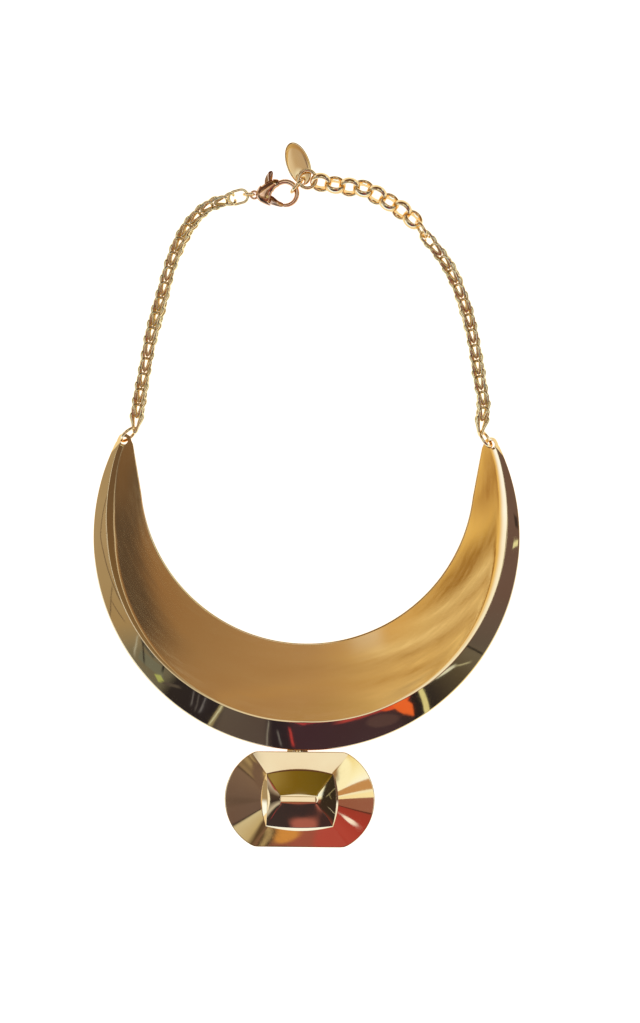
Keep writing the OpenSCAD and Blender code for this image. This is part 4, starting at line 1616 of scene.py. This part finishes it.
@dataclass
class Studio:
    """Floor, camera and the light that comes from the ceiling and walls."""

    # What the walls' colours are divided by, so that the metal shows the colour that is meant
    gold: str = "#F6D290"
    # The camera's place on the page in millimetres, its distance and its frame's height in
    # metres, and how it is turned in degrees
    middle: Point2 = (4.6, 9.04)
    distance: float = 1.3
    frame_height: float = 0.35805
    sensor_mm: float = 36.0
    roll: float = 0.6
    # Strength of the even light on all that is no mirror
    dome: float = 0.42
    # The floor in metres, and its own light as it is seen and as metal mirrors it
    floor_half: float = 4.0
    floor_drop: float = 0.0001
    floor_glow: float = 0.86
    floor_mirrored: float = 0.6
    # Walls brighter than 1 are painted darker by this, and their light is as much stronger
    gain: float = 2.0
    # A little over 1, so that the slope stays finite right behind the metal
    horizon: float = 1.02
    # How far the hand-made walls stray from straight, and how often
    stray: float = 0.012
    stray_scale: float = 9.0

    def build(self) -> None:
        """Build the studio."""
        self._camera()
        self._floor()
        self._light()
        bpy.context.scene.view_settings.view_transform = "Standard"

    def _camera(self) -> None:
        """Set the camera straight above the choker, turned as the photograph is."""
        data = bpy.data.cameras.new("camera")
        data.sensor_fit = "VERTICAL"
        data.sensor_height = self.sensor_mm
        data.lens = self.distance / self.frame_height * self.sensor_mm
        data.clip_start, data.clip_end = 0.01, 50
        camera = put("camera", data)
        camera.location = (self.middle[0] * MM, (self.middle[1] - MIDDLE_Y) * MM, self.distance)
        camera.rotation_euler = (0, 0, math.radians(self.roll))
        bpy.context.scene.camera = camera

    def _floor(self) -> None:
        """Lay a plain pale floor under the choker."""
        bm = bmesh.new()
        bmesh.ops.create_grid(bm, x_segments=1, y_segments=1, size=self.floor_half)
        mesh = bpy.data.meshes.new("floor")
        bm.to_mesh(mesh)
        bm.free()
        # White card, matt, and lit from below as well, as product photographs use it
        material = bpy.data.materials.new("white_card_floor")
        material.use_nodes = True
        tree = material.node_tree
        shader = tree.nodes["Principled BSDF"]
        for name, value in (
            ("Base Color", (*linear("#F6F6F6"), 1)), ("Roughness", 1.0),
            ("Specular IOR Level", 0.0), ("Emission Color", (1, 1, 1, 1)),
        ):
            shader.inputs[name].default_value = value
        glossy = add(tree, "LightPath").outputs["Is Glossy Ray"]
        shares = {"To Min": self.floor_glow, "To Max": self.floor_mirrored}
        glow = add(tree, "MapRange", {"Value": glossy, **shares})
        tree.links.new(glow.outputs[0], shader.inputs["Emission Strength"])
        mesh.materials.append(material)
        floor = put("floor", mesh)
        floor.location.z = -self.floor_drop

    def _seen(self, colour: str) -> tuple[float, float, float, float]:
        """Work out the light that gold has to mirror to show a colour.

        Args:
            colour: sRGB hex of the metal as it should look.

        Returns:
            Linear red, green, blue and an alpha of 1, as a share of the studio's gain.
        """
        return (*(c / g / self.gain for c, g in zip(linear(colour), linear(self.gold))), 1)

    def _slope(self, tree: bpy.types.NodeTree) -> bpy.types.NodeSocket:
        """Turn a direction of light into the slope of metal that sends it up to the camera.

        Args:
            tree: the world's node tree.

        Returns:
            The slope along x and y, a little astray as hand-made walls are.
        """
        way = add(tree, "TexCoord").outputs["Generated"]
        height = add(tree, "SeparateXYZ", {0: way}).outputs["Z"]
        above = add(tree, "Math", {0: height, 1: self.horizon}, operation="ADD").outputs[0]
        share = add(tree, "Math", {0: 1.0, 1: above}, operation="DIVIDE").outputs[0]
        slope = add(tree, "VectorMath", {0: way, "Scale": share}, operation="SCALE").outputs[0]
        flat = add(tree, "VectorMath", {0: slope, 1: (1, 1, 0)}, operation="MULTIPLY").outputs[0]
        noise = add(tree, "TexNoise", {"Vector": flat, "Scale": self.stray_scale, "Detail": 2.0})
        middle, most = (0.5, 0.5, 0.5), (self.stray, self.stray, 0)
        off = add(tree, "VectorMath", {0: noise.outputs["Color"], 1: middle}, operation="SUBTRACT")
        off = add(tree, "VectorMath", {0: off.outputs[0], 1: most}, operation="MULTIPLY").outputs[0]
        return add(tree, "VectorMath", {0: flat, 1: off}, operation="ADD").outputs[0]

    def _light(self) -> None:
        """Paint the studio's ceiling and walls as the world."""
        world = bpy.data.worlds.new("studio")
        bpy.context.scene.world = world
        world.use_nodes = True
        world.cycles.sampling_method = "NONE"
        tree = world.node_tree
        tree.nodes.clear()
        tilt = self._slope(tree)
        size = add(tree, "VectorMath", {0: tilt}, operation="LENGTH").outputs["Value"]
        axes = add(tree, "SeparateXYZ", {0: tilt}).outputs
        # share of a whole turn, anticlockwise from the right
        turn = add(tree, "Math", {0: axes["Y"], 1: axes["X"]}, operation="ARCTAN2").outputs[0]
        share = add(tree, "Math", {0: turn, 1: 2 * math.pi}, operation="DIVIDE").outputs[0]
        share = add(tree, "Math", {0: share}, operation="FRACT").outputs[0]
        # hundreds of degrees from the bottom
        down = add(tree, "Math", {0: axes["Y"], 1: -1.0}, operation="MULTIPLY").outputs[0]
        bottom = add(tree, "Math", {0: axes["X"], 1: down}, operation="ARCTAN2").outputs[0]
        bottom = add(tree, "Math", {0: bottom, 1: 1.8 / math.pi}, operation="MULTIPLY").outputs[0]
        places = {
            Space.TILT: tilt,
            Space.RING: add(tree, "CombineXYZ", {"X": bottom, "Y": size}).outputs[0],
        }
        colour = None
        for band in BANDS:
            colour = self._paint(tree, band, share, size, colour)
        for card in CARDS:
            colour = self._hang(tree, card, places[card.space], colour)
        glossy = add(tree, "LightPath").outputs["Is Glossy Ray"]
        studio = add(tree, "Background", {"Color": colour, "Strength": self.gain}).outputs[0]
        dome = add(tree, "Background", {"Color": (1, 1, 1, 1), "Strength": self.dome}).outputs[0]
        mirrored = add(tree, "MixShader", {0: glossy, 1: dome, 2: studio}).outputs[0]
        add(tree, "OutputWorld", {"Surface": mirrored})

    def _paint(
        self,
        tree: bpy.types.NodeTree,
        band: Band,
        share: bpy.types.NodeSocket,
        size: bpy.types.NodeSocket,
        colour: bpy.types.NodeSocket | None,
    ) -> bpy.types.NodeSocket:
        """Paint one band of the walls beyond those that are there already.

        Args:
            tree: the world's node tree.
            band: the band.
            share: share of a whole turn, from the right.
            size: the size of the slope.
            colour: the bands nearer to the zenith, or None for the first.

        Returns:
            The colour with the band in it.
        """
        ramp = add(tree, "ValToRGB", {0: share})
        stops = ramp.color_ramp.elements
        for i, (angle, look) in enumerate(band.stops):
            # a new ramp has two stops already
            stop = stops[i] if i < 2 else stops.new(angle / 360)
            stop.position = angle / 360
            stop.color = self._seen(look)
        if colour is None:
            return ramp.outputs[0]
        reach = {"From Min": band.start - band.soft, "From Max": band.start + band.soft}
        inside = add(tree, "MapRange", {"Value": size, **reach}, interpolation_type="SMOOTHSTEP")
        looks = {FIRST: colour, SECOND: ramp.outputs[0]}
        mix = add(tree, "Mix", {0: inside.outputs[0], **looks}, data_type="RGBA")
        return mix.outputs[MIXED]

    def _hang(
        self,
        tree: bpy.types.NodeTree,
        card: Card,
        place: bpy.types.NodeSocket,
        colour: bpy.types.NodeSocket,
    ) -> bpy.types.NodeSocket:
        """Hang one card in front of what is there already.

        Args:
            tree: the world's node tree.
            card: the card.
            place: coordinates in the card's space.
            colour: what is behind it.

        Returns:
            The colour with the card in it.
        """
        local = add(tree, "Mapping", {
            "Vector": place,
            "Location": (*card.at, 0),
            "Rotation": (0, 0, math.radians(card.turn)),
            "Scale": (*card.half, 1),
        }, vector_type="TEXTURE").outputs[0]
        if card.shape is Shape.OVAL:
            reach = add(tree, "VectorMath", {0: local}, operation="LENGTH").outputs["Value"]
        else:
            away = add(tree, "VectorMath", {0: local}, operation="ABSOLUTE").outputs[0]
            x, y = add(tree, "SeparateXYZ", {0: away}).outputs[:2]
            reach = add(tree, "Math", {0: x, 1: y}, operation="MAXIMUM").outputs[0]
        mask = add(tree, "MapRange", {
            "Value": reach,
            "From Min": 1 + card.soft,
            "From Max": max(0.0, 1 - card.soft),
            "To Max": card.share,
        }, interpolation_type="SMOOTHSTEP")
        looks = {FIRST: colour, SECOND: self._seen(card.look)}
        mix = add(tree, "Mix", {0: mask.outputs[0], **looks}, data_type="RGBA")
        return mix.outputs[MIXED]


def dress_pins(nodes: dict[str, bpy.types.Object]) -> None:
    """Give the two pins, which stay as the frame has them, their finish.

    Args:
        nodes: the frame's nodes by name.
    """
    material = DRAWN.material()
    for name in ("hinge_pin", "clasp_pin"):
        dress(nodes[name].data, material)
        LOG.info("%s keeps its shape", name)


def main() -> None:
    """Build the choker and its studio."""
    logging.basicConfig(level=logging.INFO, format="%(name)s: %(message)s")
    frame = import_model()
    for part in (Crescent(), Plaque(), LooseRings(), Chains(), Clasp(), Tag()):
        part.build()
    dress_pins(frame["nodes"])
    Studio().build()


if __name__ == "__main__":
    main()
